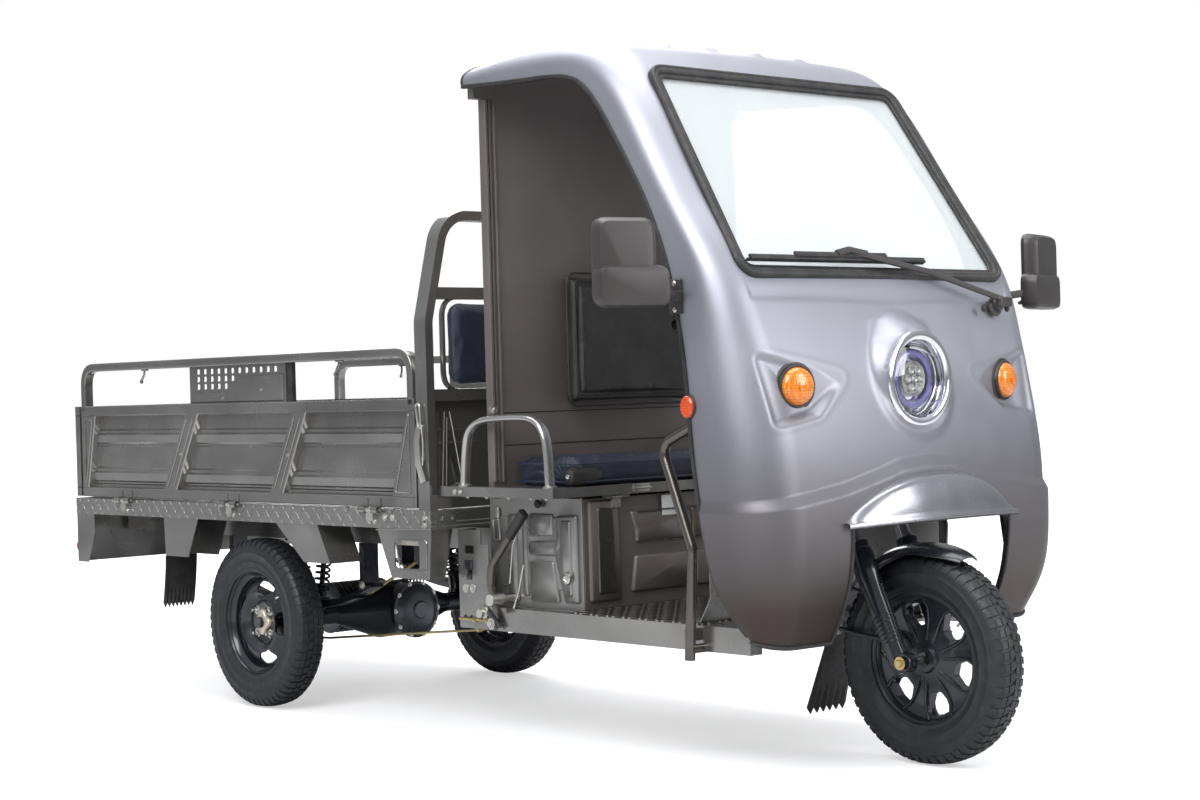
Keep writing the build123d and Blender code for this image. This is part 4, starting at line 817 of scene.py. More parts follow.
def make_visor():
    """The domed brow over the wheel arch, with its rolled edge and its gasket."""
    visor, gasket, rows = Mesh(), Mesh(), []
    for k in range(15):
        v = k / 14
        row = []
        for u in np.linspace(-1, 1, 61):
            foot = Vector((2.196 - 0.016 * u * u, 0.316 * u, 0.603 + 0.108 * (1 - abs(u)**2.3)))
            edge = Vector((2.214 + 0.046 * (1 - u * u), 0.318 * u, 0.6 + 0.008 * (1 - u * u)))
            bulge = sin(pi * v**0.8) * (1 - abs(u)**4)
            crease = 0.004 * exp(-((v - 0.35) / 0.1)**2) * (1 - u * u)
            row.append(foot.lerp(edge, v) + Vector((0.02, 0, 0.017)) * bulge + Vector((0.3, 0, 1)) * crease)
        rows.append(row)
    rolled = ((0.003, -0.004), (0.002, -0.012), (-0.004, -0.012), (-0.004, -0.004))
    lip = [[p + Vector((x, 0, z)) for p in rows[-1]] for x, z in rolled]
    under = [[p - Vector((0.004, 0, 0.004)) for p in row] for row in reversed(rows)]
    visor.rows(rows + lip + under)
    gasket.tube([p + Vector((0.001, 0, 0.0015)) for p in rows[0]], 0.0034, 8)
    gasket.tube([p + Vector((0.001, 0, -0.0125)) for p in rows[-1]], 0.0022, 8)
    put(visor, "visor_dome", VISOR, replaces=["visor"], angle=50)
    put(gasket, "visor_gasket", RUBBER)
    edge, foot = Mesh(), outer_skin(4) / 1000
    for side in SIDES:
        line = [(p[0] + 0.001, p[1], p[2] - 0.001) for p in foot if p[1] * side > 0.292]
        rise = []
        for a in np.linspace(4, 292, 30):
            row = outer_skin(a) / 1000
            row = row[row[:, 0] > 1.95]
            p = row[np.argmin(np.abs(row[:, 1] - side * 0.2925))]
            rise.append((p[0] + 0.001, side * 0.2925, p[2]))
        edge.tube(line if side < 0 else line[::-1], 0.0055, 8)
        edge.tube(rise, 0.0048, 8)
    put(edge, "arch_trim", RUBBER)


def make_mirrors():
    """Each mirror is two stepped shells on a bent stay."""
    shell, stay, glass, screws = Mesh(), Mesh(), Mesh(), Mesh()
    for side in SIDES:
        turn = side * radians(15)
        out, width = Vector((cos(turn), sin(turn), 0)), Vector((-sin(turn), cos(turn), 0))
        middle = Vector((1.962, side * 0.756, 1.213))

        def ring(w, h, r, push, drop=0.0):
            aside = side * (0.172 - w) * 0.4 * (drop == 0.0)
            return [middle + width * (p[0] + aside) + Vector((0, 0, p[1] + drop)) + out * push
                    for p in rect(w * 1.06, h * 1.08, r, 6)]

        upper = ((0.112, 0.158, 0.022, 0.027), (0.126, 0.17, 0.026, 0.026), (0.138, 0.181, 0.03, 0.017),
                 (0.146, 0.188, 0.032, 0.002), (0.148, 0.19, 0.032, -0.006), (0.145, 0.187, 0.03, -0.016),
                 (0.139, 0.181, 0.026, -0.018), (0.136, 0.178, 0.024, -0.013))
        lower = ((0.148, 0.066, 0.018, 0.037, -0.055), (0.162, 0.08, 0.022, 0.034, -0.055),
                 (0.17, 0.088, 0.026, 0.022, -0.055), (0.173, 0.091, 0.028, 0.0, -0.0535),
                 (0.168, 0.086, 0.026, -0.01, -0.0535))
        pane = [(0.134, 0.176, 0.022, push) for push in (-0.014, -0.0165)]
        for mesh, sections in ((shell, upper), (shell, lower), (glass, pane)):
            mesh.rows([ring(*section) for section in sections], around=True, caps=True)
        knee = Vector((1.925, side * 0.585, 1.14))
        end = middle + width * (-side * 0.07) + Vector((0, 0, -0.058))
        stay.swept([knee, end], rect(0.024, 0.02, 0.004, 2), up=Z)
        stay.block(1.895, 1.935, side * 0.562, side * 0.571, 1.098, 1.18, 0.004)
        stay.block(1.905, 1.94, side * 0.566, side * 0.6, 1.128, 1.152, 0.003)
        stay.tube([end + Vector((0, 0, -0.012)), end + Vector((-0.01, -side * 0.018, -0.026))], 0.004, 8)
        stay.turned([(0, -0.006), (0.006, -0.003), (0.006, 0.003), (0, 0.006)],
                    end + Vector((-0.01, -side * 0.018, -0.027)), Z, 10)
        dome = [(0, 0.004), (0.004, 0.0035), (0.0065, 0.001), (0.0065, 0)]
        for z in (1.108, 1.17):
            screws.turned(dome, (1.915, side * 0.571, z), (0, side, 0), 14)
    put(shell, "mirror_housings", PLASTIC, replaces=["mirrors"], angle=28)
    put(stay, "mirror_stays", PLASTIC)
    put(glass, "mirror_glasses", CHROME)
    put(screws, "mirror_screws", ZINC)


def make_wiper():
    wiper, blade = Mesh(), Mesh()
    foot = Vector((2.098, 0.392, 1.112))
    wiper.turned([(0.016, -0.02), (0.017, 0.01), (0.014, 0.02), (0.008, 0.024), (0, 0.024)], foot, (1, 0, 0.1), 22)
    wiper.turned([(0, 0), (0.026, 0), (0.026, 0.004), (0.02, 0.008), (0, 0.008)], foot, (1, 0, 0.1), 24)
    hub = foot + Vector((0.022, 0.012, 0.01))
    wiper.block(hub.x - 0.008, hub.x + 0.01, hub.y - 0.026, hub.y + 0.024, hub.z - 0.012, hub.z + 0.013, 0.005)
    tip = on_screen(-0.103, -0.252, 0.024)
    bend = on_screen(0.15, -0.318, 0.034)
    wiper.swept([hub + Vector((0.004, 0, 0.004)), bend, tip], rect(0.017, 0.007, 0.002, 2), up=SCREEN_OUT)
    wiper.swept([on_screen(-0.15, -0.262, 0.026), on_screen(-0.103, -0.252, 0.028), on_screen(-0.04, -0.262, 0.026)],
                rect(0.018, 0.01, 0.003, 2), up=SCREEN_OUT)
    for y in (0.33, 0.425):
        wiper.bolt((2.112, y, 1.106), X, 0.006)
    for right, left, drop in ((-0.455, 0.175, 0.0), (-0.3, 0.03, 0.008)):
        ends = [on_screen(right, -0.274 + drop, 0.02 + drop / 2), on_screen(left, -0.272 + drop, 0.02 + drop / 2)]
        blade.swept(ends, rect(0.014, 0.007, 0.002, 2), up=SCREEN_OUT)
    ends = [on_screen(-0.462, -0.276, 0.012), on_screen(0.18, -0.274, 0.012)]
    blade.swept(ends, rect(0.003, 0.012, 0.001, 2), up=SCREEN_OUT)
    put(wiper, "wiper_arm", PLASTIC)
    put(blade, "wiper_blade", RUBBER)


make_cab()
make_cab_trim()
make_lamps()
make_visor()
make_mirrors()
make_wiper()


# ------------------------------------------------------------------ wheels
PITCHES = 58                                            # tread blocks round a tyre
SPOKE_TURN = 0.26                                       # of the front rim at rest
HOLE_TURN = 0.3                                         # of the rear rims at rest


def tyre(name, centre, body, node):
    """A carcass with bead and side rings, and a tread of staggered blocks and shoulder lugs."""
    mesh = Mesh()
    side = [(0.1555, 0.034), (0.157, 0.0405), (0.163, 0.0425), (0.1665, 0.0415), (0.17, 0.044), (0.18, 0.0475),
            (0.1815, 0.0487), (0.184, 0.049), (0.1855, 0.0482), (0.196, 0.0497), (0.208, 0.05), (0.2095, 0.0508),
            (0.212, 0.0508), (0.2135, 0.0498), (0.223, 0.0487), (0.232, 0.0462), (0.24, 0.0418), (0.246, 0.0345),
            (0.2488, 0.02), (0.2496, 0.0)]
    profile = [(r, -w) for r, w in side] + [(r, w) for r, w in reversed(side[:-1])]
    profile += [(0.15, 0.03), (0.15, -0.03), side[0][:1] + (-side[0][1],)]
    mesh.turned(profile, centre, Y, 112)
    centre = Vector(centre)

    def crown(w):
        return 0.2538 - 0.0035 * (w / 0.03)**2

    def under(w):
        return 0.244 - 0.006 * (w / 0.04)**2

    def lug(corners):
        mid = (sum(c[0] for c in corners) / 4, sum(c[1] for c in corners) / 4)
        low = [on_wheel(centre, a, under(w), w) for a, w in corners]
        edge = [on_wheel(centre, a, crown(w) - 0.0012, w) for a, w in corners]
        tight = [(mid[0] + (a - mid[0]) * 0.86, mid[1] + (w - mid[1]) * 0.9) for a, w in corners]
        mesh.rows([low, edge, [on_wheel(centre, a, crown(w), w) for a, w in tight]], around=True, caps=True)

    blocks = ((0.0012, 0.017, (0.006, 0.078, 0.096, 0.02)), (0.0195, 0.0345, (0.026, 0.1, 0.1, 0.03)))
    step = 2 * pi / PITCHES
    for k in range(PITCHES):
        for s in SIDES:
            b = k * step + (step / 2 if s > 0 else 0)
            for w0, w1, steps in blocks:
                lug([(b + t, s * w) for t, w in zip(steps, (w0, w0, w1, w1))])
            rows = []
            for r, w in ((0.2495, 0.0352), (0.2458, 0.0405), (0.2385, 0.0455), (0.231, 0.0482)):
                start, end = b + 0.034, b + 0.1
                rows.append([on_wheel(centre, t, r - deep, s * (w - deep))
                             for t, deep in ((start, 0.004), (start, 0.0), (end, 0.0), (end, 0.004))])
            mesh.rows(rows, around=True, caps=True)
    put(mesh, name, TYRE, body, [node], 40)


def wheel_hole(centre, turn, corners, radius):
    """A cutter through a wheel's disc from corners of (radius, angle)."""
    outline = filleted([(r * cos(turn + a), r * sin(turn + a)) for r, a in corners], radius, 4)
    return Mesh().prism(outline, centre - Vector((0, 0.05, 0)), Z, X, 0.1).object("hole")


def rear_rim(side):
    """A pressed rim: a dished disc with five kidney holes, nuts, a lobed cap and a valve."""
    word = "left" if side > 0 else "right"
    body, node = "rear_wheel_" + word, "rear_rim_" + word
    centre, out = Vector((0, side * HALF_TRACK, HUB_Z)), (0, side, 0)
    well = [(0.1655, -0.037), (0.1655, -0.0345), (0.157, -0.0335), (0.1535, -0.026), (0.14, -0.018), (0.14, 0.014),
            (0.1535, 0.026), (0.157, 0.0335), (0.1655, 0.0345), (0.1655, 0.037), (0.161, 0.037), (0.154, 0.036),
            (0.15, 0.027), (0.137, 0.017), (0.137, -0.021), (0.1505, -0.029), (0.1545, -0.037), (0.1655, -0.037)]
    rim = Mesh().turned(well, centre, out, 96)
    disc = [(0.0, 0.006), (0.03, 0.006), (0.06, 0.006), (0.068, 0.01), (0.078, 0.024), (0.09, 0.029), (0.106, 0.026),
            (0.124, 0.01), (0.1375, 0.004), (0.1375, 0.0), (0.122, 0.005), (0.105, 0.021), (0.09, 0.024),
            (0.08, 0.019), (0.07, 0.004), (0.06, 0.0), (0.0, 0.0)]
    plate = Mesh().turned(disc, centre, out, 96).object("plate")
    cutters = []
    for k in range(5):
        corners = [(0.126, -0.34), (0.126, 0), (0.126, 0.34), (0.092, 0.27), (0.092, 0), (0.092, -0.27)]
        cutters.append(wheel_hole(centre, 2 * pi * k / 5 + HOLE_TURN, corners, 0.011))
    carve(plate, *cutters)
    rib = ((0.068, 0.0085), (0.08, 0.0195), (0.11, 0.02))
    for k in range(5):
        t = 2 * pi * (k + 0.5) / 5 + HOLE_TURN
        rim.tube([on_wheel(centre, t, r, side * h) for r, h in rib], 0.004, 6)
    rim.turned([(0.064, 0.0), (0.0645, 0.01), (0.06, 0.012), (0.058, 0.006)], centre, out, 64)
    put(join(rim.object(node + "_well"), plate, BLACK), node + "_pressing", BLACK, body, [node], 32)
    nuts = Mesh()
    for k in range(4):
        place = on_wheel(centre, 2 * pi * (k + 0.5) / 4, 0.049, side * 0.006)
        nuts.bolt(place, out, 0.0085)
        nuts.turned([(0.0045, 0.008), (0.0045, 0.018), (0, 0.018)], place, out, 10)
    t = HOLE_TURN + 2 * pi * 0.5 / 5
    valve = on_wheel(centre, t, 0.142, side * 0.016)
    nuts.tube([valve, on_wheel(valve, t, -0.012, side * 0.016)], 0.0035, 8)
    put(nuts, "wheel_nuts_" + word, ZINC, body)
    rows = []
    for r, h in ((0.04, 0.005), (0.04, 0.012), (0.038, 0.0155), (0.034, 0.0175), (0.02, 0.0185), (0.004, 0.0185)):
        rows.append([centre + Vector((0, side * h, 0)) + Vector((sin(a), 0, cos(a))) * r * (0.86 + 0.14 * cos(4 * a))
                     for a in turns(64)])
    put(Mesh().rows(rows, around=True, caps=True), "hub_cap_" + word, CAP, body)


def front_rim():
    """A cast rim on six tapered, ribbed spokes."""
    centre, out = Vector((WHEELBASE, 0, HUB_Z)), Y
    rim = Mesh()
    half = [(0.1655, 0.0345), (0.1655, 0.037), (0.16, 0.037), (0.154, 0.034), (0.15, 0.026), (0.144, 0.017),
            (0.142, 0.0)]
    inner = [(0.148, 0.0), (0.149, 0.014), (0.1535, 0.026), (0.157, 0.0335), (0.1655, 0.0345)]
    ring = half + [(r, -w) for r, w in half[-2::-1]] + [(r, -w) for r, w in inner[::-1]] + inner[1:]
    rim.turned(ring, centre, out, 108)
    hub = [(0.043, 0.011), (0.034, 0.013), (0.034, 0.022), (0.03, 0.028), (0.018, 0.03)]
    rim.turned([(r, -w) for r, w in hub[::-1]] + hub, centre, out, 48)
    face = [(0.03, 0.022), (0.052, 0.02), (0.062, 0.014), (0.084, 0.011), (0.12, 0.012), (0.1435, 0.016)]
    disc = Mesh().turned(face + [(r, -w) for r, w in reversed(face)] + face[:1], centre, out, 96).object("disc")
    cutters = []
    for k in range(6):
        corners = [(0.138, -0.34), (0.138, 0), (0.138, 0.34), (0.084, 0.17), (0.084, -0.17)]
        cutters.append(wheel_hole(centre, 2 * pi * (k + 0.5) / 6 + SPOKE_TURN, corners, 0.01))
    carve(disc, *cutters)
    rib = ((0.046, 0.009, 0.019), (0.066, 0.0125, 0.015), (0.095, 0.0165, 0.014), (0.122, 0.026, 0.015),
           (0.14, 0.042, 0.018))
    for k in range(6):
        t = 2 * pi * k / 6 + SPOKE_TURN
        along, across = Vector((sin(t), 0, cos(t))), Vector((cos(t), 0, -sin(t)))
        for s in SIDES:
            for flip in SIDES:
                line = [centre + along * r + across * (flip * w) + Vector((0, s * d, 0)) for r, w, d in rib]
                rim.tube(line, 0.0042, 8)
    rim = join(rim.object("front_rim_well"), disc, BLACK)
    put(rim, "front_rim_casting", BLACK, "front_wheel", ["front_rim"], 30)
    parts = Mesh()
    for s in SIDES:
        for k in range(6):
            parts.bolt(on_wheel(centre, 2 * pi * (k + 0.5) / 6 + SPOKE_TURN, 0.038, s * 0.011), (0, s, 0), 0.0035)
    t = SPOKE_TURN + pi / 6
    valve = on_wheel(centre, t, 0.145)
    parts.tube([valve, on_wheel(valve, t, -0.028)], 0.0035, 8)
    put(parts, "front_hub_bolts", ZINC, "front_wheel")


def fork_and_fender():
    """The sliders with their axle lugs, and the curved fender with its side skirts."""
    sliders, clamps = Mesh(), Mesh()
    rise = Vector((-sin(radians(24)), 0, cos(radians(24))))
    casting = [(0, -0.02), (0.018, -0.018), (0.024, -0.006), (0.0265, 0.015), (0.027, 0.19), (0.029, 0.205),
               (0.0305, 0.232), (0.0305, 0.292), (0.0285, 0.298), (0.027, 0.3), (0.027, 0.314), (0.0235, 0.318),
               (0.0175, 0.3185), (0.0175, 0.3), (0, 0.3)]
    fin = [(0.0265, 0.0), (0.029, 0.0015), (0.029, 0.0045), (0.0265, 0.006)]
    lug = [(0.01, -0.016), (0.022, -0.016), (0.024, -0.012), (0.024, 0.012), (0.022, 0.016), (0.01, 0.016)]
    for side in SIDES:
        foot = Vector((2.1647, side * 0.092, 0.2459))
        sliders.turned(casting, foot, rise, 36)
        for k in range(7):
            sliders.turned(fin, foot + rise * (0.055 + 0.011 * k), rise, 28)
        sliders.swept([foot + rise * 0.03 + Vector((0.024, 0, 0.006)), foot + rise * 0.2 + Vector((0.025, 0, 0.01))],
                      rect(0.012, 0.01, 0.003, 2), up=Y)
        boss = Vector((WHEELBASE, side * 0.092, HUB_Z))
        sliders.turned(lug, boss, Y, 30)
        clamps.bolt(boss + Vector((0, side * 0.0245, 0)), (0, side, 0), 0.0095)
        clamps.bolt(foot + rise * 0.03 + Vector((-0.02, side * 0.012, 0)), (-0.6, side * 0.8, 0), 0.006)
    put(sliders, "slider_castings", BLACK, "steering", ["fork_sliders"], 30)
    put(clamps, "slider_bolts", BRASS, "steering")
    fender, stays = Mesh(), Mesh()
    hub = Vector((WHEELBASE, 0, HUB_Z))
    top, under = [], []
    for t in np.linspace(radians(-81), radians(27), 56):
        tip = max(0.0, (t - radians(8)) / radians(19))
        row, low = [], []
        for u in np.linspace(-1, 1, 21):
            half = 0.06 * (1 - 0.45 * tip**2)
            skirt = 0.02 * abs(u)**3 * (1 - 0.6 * tip)
            r = 0.2775 - skirt + 0.004 * (1 - u * u)
            across = u * (1.15 - 0.15 * u * u)
            row.append(on_wheel(hub, t, r, half * across))
            low.append(on_wheel(hub, t, r - 0.003, half * 0.97 * across))
        top.append(row)
        under.append(low)
    fender.rows([a + b[::-1] for a, b in zip(top, under)], around=True, caps=True)
    put(fender, "fender_pressing", BLACK, "steering", ["front_fender"], 50)
    for side in SIDES:
        stays.swept([(2.03, side * 0.064, 0.486), (2.045, side * 0.066, 0.44)], rect(0.03, 0.006, 0.002, 2), up=Y)
        stays.tube([(1.925, side * 0.058, 0.32), (2.0, side * 0.066, 0.31), (2.13, side * 0.068, 0.3)], 0.0055, 8)
        stays.tube([(1.935, side * 0.058, 0.4), (2.0, side * 0.064, 0.42), (2.07, side * 0.068, 0.4)], 0.005, 8)
    put(stays, "fender_stays", BLACK, "steering")


fork_and_fender()
tyre("tyre_front", (WHEELBASE, 0, HUB_Z), "front_wheel", "front_tyre")
tyre("tyre_right", (0, -HALF_TRACK, HUB_Z), "rear_wheel_right", "rear_tyre_right")
tyre("tyre_left", (0, HALF_TRACK, HUB_Z), "rear_wheel_left", "rear_tyre_left")
for side in SIDES:
    rear_rim(side)
front_rim()


# --------------------------------------------------------- drop sides and tailgate
LOW, HIGH, THICK = 0.618, 0.915, 0.032                  # of a board when it is shut
KNUCKLES = (-0.7, -0.075, 0.64)                      # hinges along a drop side
BED_SIDE = 0.5275                                       # the bed frame's outer face


def on_side(side):
    """Gives points on a drop side by x, the depth inwards from its face, and z."""
    return lambda x, d, z: Vector((x, side * (0.527 - d), z))


def board(name, node, body, place, u, out, span, ribs, ends, knuckles):
    """A drop side or the tailgate: box rails, pressed ribs and end gussets over a swaged panel.

    place gives a point from the distance along the board, the depth and the height; each rib
    is its foot and its head, and each end gusset the same, as pairs along the board."""
    m = Mesh()
    a, b = span
    u = Vector(u)

    def slab(outline, front=0.0, deep=THICK, bevel=0.0025):
        m.prism(outline, place(0, deep, 0), u, Z, out * (deep - front), bevel)

    def ridge(shape, r=0.0022):
        line = round_corners([(q[0], q[1], 0) for q in shape], 0.006, 3, False)
        m.tube([place(p.x, 0.0002, p.y) for p in line], r, 6)

    slab([(a, HIGH - 0.032), (b, HIGH - 0.032), (b, HIGH), (a, HIGH)])
    slab([(a, LOW), (b, LOW), (b, LOW + 0.03), (a, LOW + 0.03)])
    slab([(a, LOW + 0.028), (a + 0.024, LOW + 0.028), (a + 0.024, HIGH - 0.03), (a, HIGH - 0.03)], 0.0004)
    slab([(b - 0.024, LOW + 0.028), (b, LOW + 0.028), (b, HIGH - 0.03), (b - 0.024, HIGH - 0.03)], 0.0004)
    for foot, head in ends:
        inner, far = (a + 0.01, 1) if foot[0] < 0.5 * (a + b) else (b - 0.01, 0)
        shape = [(inner, LOW + 0.028), (foot[far], LOW + 0.028), (head[far], HIGH - 0.03), (inner, HIGH - 0.03)]
        slab(shape, 0.0012)
        mark = shrink(shape, 0.014)
        ridge([*mark, mark[0]], 0.0026)
    for bottom, top in ribs:
        shape = [(bottom[0], LOW + 0.026), (bottom[1], LOW + 0.026), (top[1], HIGH - 0.028), (top[0], HIGH - 0.028)]
        slab(shape, 0.0008, bevel=0.003)
        mark = shrink(shape, 0.017)
        ridge([mark[0], mark[3]])
        ridge([mark[1], mark[2]])
        mid = place(sum(p[0] for p in shape) / 4, 0.001, (LOW + HIGH) / 2)
        inward = (place(0, 0, 0) - place(0, 1, 0)).normalized()
        m.turned([(0.014, -0.001), (0.01, 0.0008), (0.005, 0.0022), (0, 0.0026)], mid, inward, 14)
    swage = ((-0.03, 0.026), (-0.026, 0.022), (-0.021, 0.022), (-0.016, 0.016), (0.008, 0.014), (0.014, 0.02),
             (0.022, 0.02), (0.027, 0.026))
    folds = [(c + dz, d) for c in (0.688, 0.812) for dz, d in swage]
    section = [(LOW + 0.01, 0.026), *folds, (HIGH - 0.01, 0.026)]
    section += [(z, d + 0.002) for z, d in reversed(section)]
    stops = [a + 0.01, *[(r[0][0] + r[0][1] + r[1][0] + r[1][1]) / 4 for r in ribs], b - 0.01]
    sheet = []
    for x in np.linspace(a + 0.01, b - 0.01, 70):
        cell = [(x - p) / (q - p) for p, q in zip(stops, stops[1:]) if p <= x <= q] or [0]
        swell = 0.0045 * sin(pi * cell[0])**0.7
        row = [(d - swell * (sin(pi * (z - LOW) / (HIGH - LOW)) if d > 0.02 else 0.5), z) for z, d in section]
        sheet.append([place(x, d, z) for d, z in row])
    m.rows(sheet, around=True, caps=True)
    for x in knuckles:
        for step in SIDES:
            m.turned(band(0.0065, 0.0105, 0.014), place(x + step * 0.03, -0.009, 0.61), u, 14)
            m.prism(rect(0.026, 0.03), place(x + step * 0.03, 0.002, 0.627), u, Z, out * 0.005, 0.001)
    put(m, name, FRAME, body, [node], 30)


def side_details(side, body, word):
    """The bent top tube, the perforated plate, its flange and the rope hooks."""
    place = on_side(side)
    tube = Mesh()
    path = [place(x, 0.016, z) for x, z in ((-0.958, 0.9), (-0.958, 1.042), (0.827, 1.042), (0.827, 0.9))]
    tube.swept(round_corners(path, 0.062, 10, False), rect(0.026, 0.032, 0.004, 3), up=Y)
    put(tube, "side_tube_" + word, FRAME, body)
    outline = [(-0.312, 0.905), (0.215, 0.905), (0.215, 1.032), (-0.312, 1.032)]
    plate = Mesh().prism(outline, place(0, 0.017, 0), X, Z, -side * 0.003).object("plate")
    holes = Mesh()
    for z, count in ((1.013, 12), (0.99, 6), (0.967, 5)):
        for k in range(count):
            x = -0.262 + k * 0.0385
            holes.prism(rect(0.0175, 0.0165, 0.005, 3), place(x, 0.03, z), X, Z, -side * 0.03)
    carve(plate, holes.object("holes"))
    put(plate, "side_plate_" + word, FRAME, body)
    trim = Mesh()
    step = [(-0.3, 0.918), (0.203, 0.918), (0.203, 0.999), (-0.004, 0.996), (-0.09, 0.951), (-0.3, 0.949)]
    trim.prism(step, place(0, 0.015, 0), X, Z, -side * 0.006, 0.003)
    for x, z in ((-0.12, 0.936), (0.09, 0.958)):
        trim.turned([(0.01, 0), (0.007, 0.001), (0, 0.0018)], place(x, 0.009, z), (0, side, 0), 12)
    for x in (-0.584, 0.482):
        bent = [place(x, 0.016, 1.032), place(x, 0.014, 1.012), place(x - 0.01, 0.01, 0.994)]
        trim.tube(bent, 0.0035, 8)
        trim.tube([place(x - 0.014, 0.014, 1.027), place(x + 0.022, 0.014, 1.027)], 0.003, 6)
        bead = [(0, -0.007), (0.0055, -0.004), (0.0055, 0.004), (0, 0.007)]
        trim.turned(bead, place(x - 0.011, 0.01, 0.99), Z, 10)
    put(trim, "side_trim_" + word, FRAME, body)
    flange = Mesh().block(0.216, 0.244, side * 0.497, side * 0.512, 0.905, 1.032, 0.002)
    put(flange, "side_flange_" + word, RUBBER, body)


for side, word in ((-1, "right"), (1, "left")):
    board("drop_side_" + word, "side_" + word, "side_board_" + word, on_side(side), X, -side, (-0.974, 0.843),
          [((-0.466, -0.39), (-0.326, -0.25)), ((0.13, 0.2), (0.262, 0.332))],
          [((-0.974, -0.938), (-0.974, -0.884)), ((0.733, 0.843), (0.807, 0.843))], KNUCKLES)
    side_details(side, "side_board_" + word, word)
board("tail_board_pressing", "tailgate", "tail_board", lambda y, d, z: Vector((-1.022 + d, y, z)), Y, -1,
      (-0.523, 0.523), [((-0.206, -0.136), (-0.206, -0.136)), ((0.136, 0.206), (0.136, 0.206))],
      [((-0.523, -0.48), (-0.523, -0.44)), ((0.48, 0.523), (0.44, 0.523))], (-0.33, 0.33))


def make_bed_fittings():
    pins = Mesh()
    for side in SIDES:
        for x in KNUCKLES:
            pins.tube([(x - 0.052, side * 0.536, 0.61), (x + 0.052, side * 0.536, 0.61)], 0.0042, 10)
            pins.tube([(x - 0.054, side * 0.536, 0.612), (x - 0.054, side * 0.536, 0.598)], 0.0025, 6)
            for step in (-0.012, 0.012):
                pins.bolt((x + step, side * BED_SIDE, 0.578), (0, side, 0), 0.005)
        clasp = [(0.862, 0.9), (0.872, 0.838), (0.884, 0.836), (0.88, 0.9)]
        pins.loop(round_corners([(x, side * 0.535, z) for x, z in clasp], 0.008, 4), 0.0032, 8)
        lever = ((0.874, 0.533, 0.846), (0.868, 0.539, 0.8), (0.872, 0.538, 0.74), (0.888, 0.535, 0.69))
        lever = [(x, side * y, z) for x, y, z in lever]
        pins.swept(lever, rect(0.022, 0.005, 0.002, 2), up=Y)
        pins.prism(rect(0.026, 0.1, 0.006, 3), (0.872, side * 0.527, 0.795), X, Z, -side * 0.004, 0.001)
        for z in (0.75, 0.842):
            pins.bolt((0.872, side * 0.531, z), (0, side, 0), 0.005)
        pins.tube([(0.885, side * 0.534, 0.845), (0.893, side * 0.536, 0.79), (0.888, side * 0.536, 0.735)], 0.0026, 6)
        for x, z in ((0.88, 0.59), (0.88, 0.575), (0.7, 0.59), (0.735, 0.59)):
            pins.bolt((x, side * BED_SIDE, z), (0, side, 0), 0.006)
    put(pins, "board_fittings", ZINC)
    marks = Mesh()
    for side in SIDES:
        for line in ([(-0.47, 0.878), (-0.484, 0.652), (-0.412, 0.672), (-0.452, 0.878)],
                     [(-0.462, 0.862), (-0.47, 0.668), (-0.424, 0.684)]):
            marks.tube([(0.9055, -side * p[0], p[1]) for p in line], 0.0025, 6)
        for y in (0.487, 0.452):
            marks.bolt((0.9055, side * y, 0.59), X, 0.007)
        for z in (0.795, 0.83):
            marks.tube([(0.9052, side * 0.36, z), (0.9052, side * 0.5, z)], 0.002, 6)
        marks.tube([(0.657, side * BED_SIDE, 0.555), (0.906, side * BED_SIDE, 0.562)], 0.0018, 6)
        gusset = filleted([(0.748, 0.531), (0.886, 0.531), (0.883, 0.451), (0.763, 0.45)], 0.012, 4)
        marks.loop([(x, side * 0.5272, z) for x, z in gusset], 0.003, 8)
    put(marks, "headboard_lines", FRAME)
    lamps, boots = Mesh(), Mesh()
    boot = [(0, 0), (0.032, 0), (0.032, 0.01), (0.028, 0.014), (0.028, 0.04), (0.031, 0.044), (0.031, 0.05), (0, 0.05)]
    lamp = [(0, 0.048), (0.0295, 0.048), (0.0295, 0.058), (0.027, 0.0645), (0.018, 0.067), (0, 0.067)]
    for side in SIDES:
        for mesh, profile in ((boots, boot), (lamps, lamp)):
            mesh.turned(profile, (-1.019, side * 0.47, 0.446), (-1, 0, 0), 28)
    put(lamps, "tail_lamp_lenses", RED, replaces=["tail_lamps"])
    put(boots, "tail_lamp_boots", RUBBER)


make_bed_fittings()


# ------------------------------------------------------------- soft pieces
BACK_Z, PAD_Z = 1.0635, 1.061                            # middle of the backrest and of the headboard's pad


def cushion_block(centre, size, radius, edge):
    """A block with rounded corners and edges, the start of a padded piece."""
    (cx, cy, cz), (sx, sy, sz) = centre, size
    rows = []
    for k in range(5):
        t = pi / 2 * k / 4
        inset, rise = edge * (1 - sin(t)), edge * (1 - cos(t))
        rows.append([(p[0], p[1], rise) for p in rect(sx - 2 * inset, sy - 2 * inset, max(radius - inset, 0.004), 6)])
    rows += [[(x, y, sz - h) for x, y, h in row] for row in reversed(rows)]
    return Mesh().rows([[(cx + x, cy + y, cz - sz / 2 + h) for x, y, h in row] for row in rows], around=True, caps=True)


def remesh(obj):
    """Covers a closed form with an even grid fine enough for cloth."""
    mod = obj.modifiers.new("grid", "REMESH")
    mod.mode, mod.voxel_size = "VOXEL", 0.007
    return settle(obj)


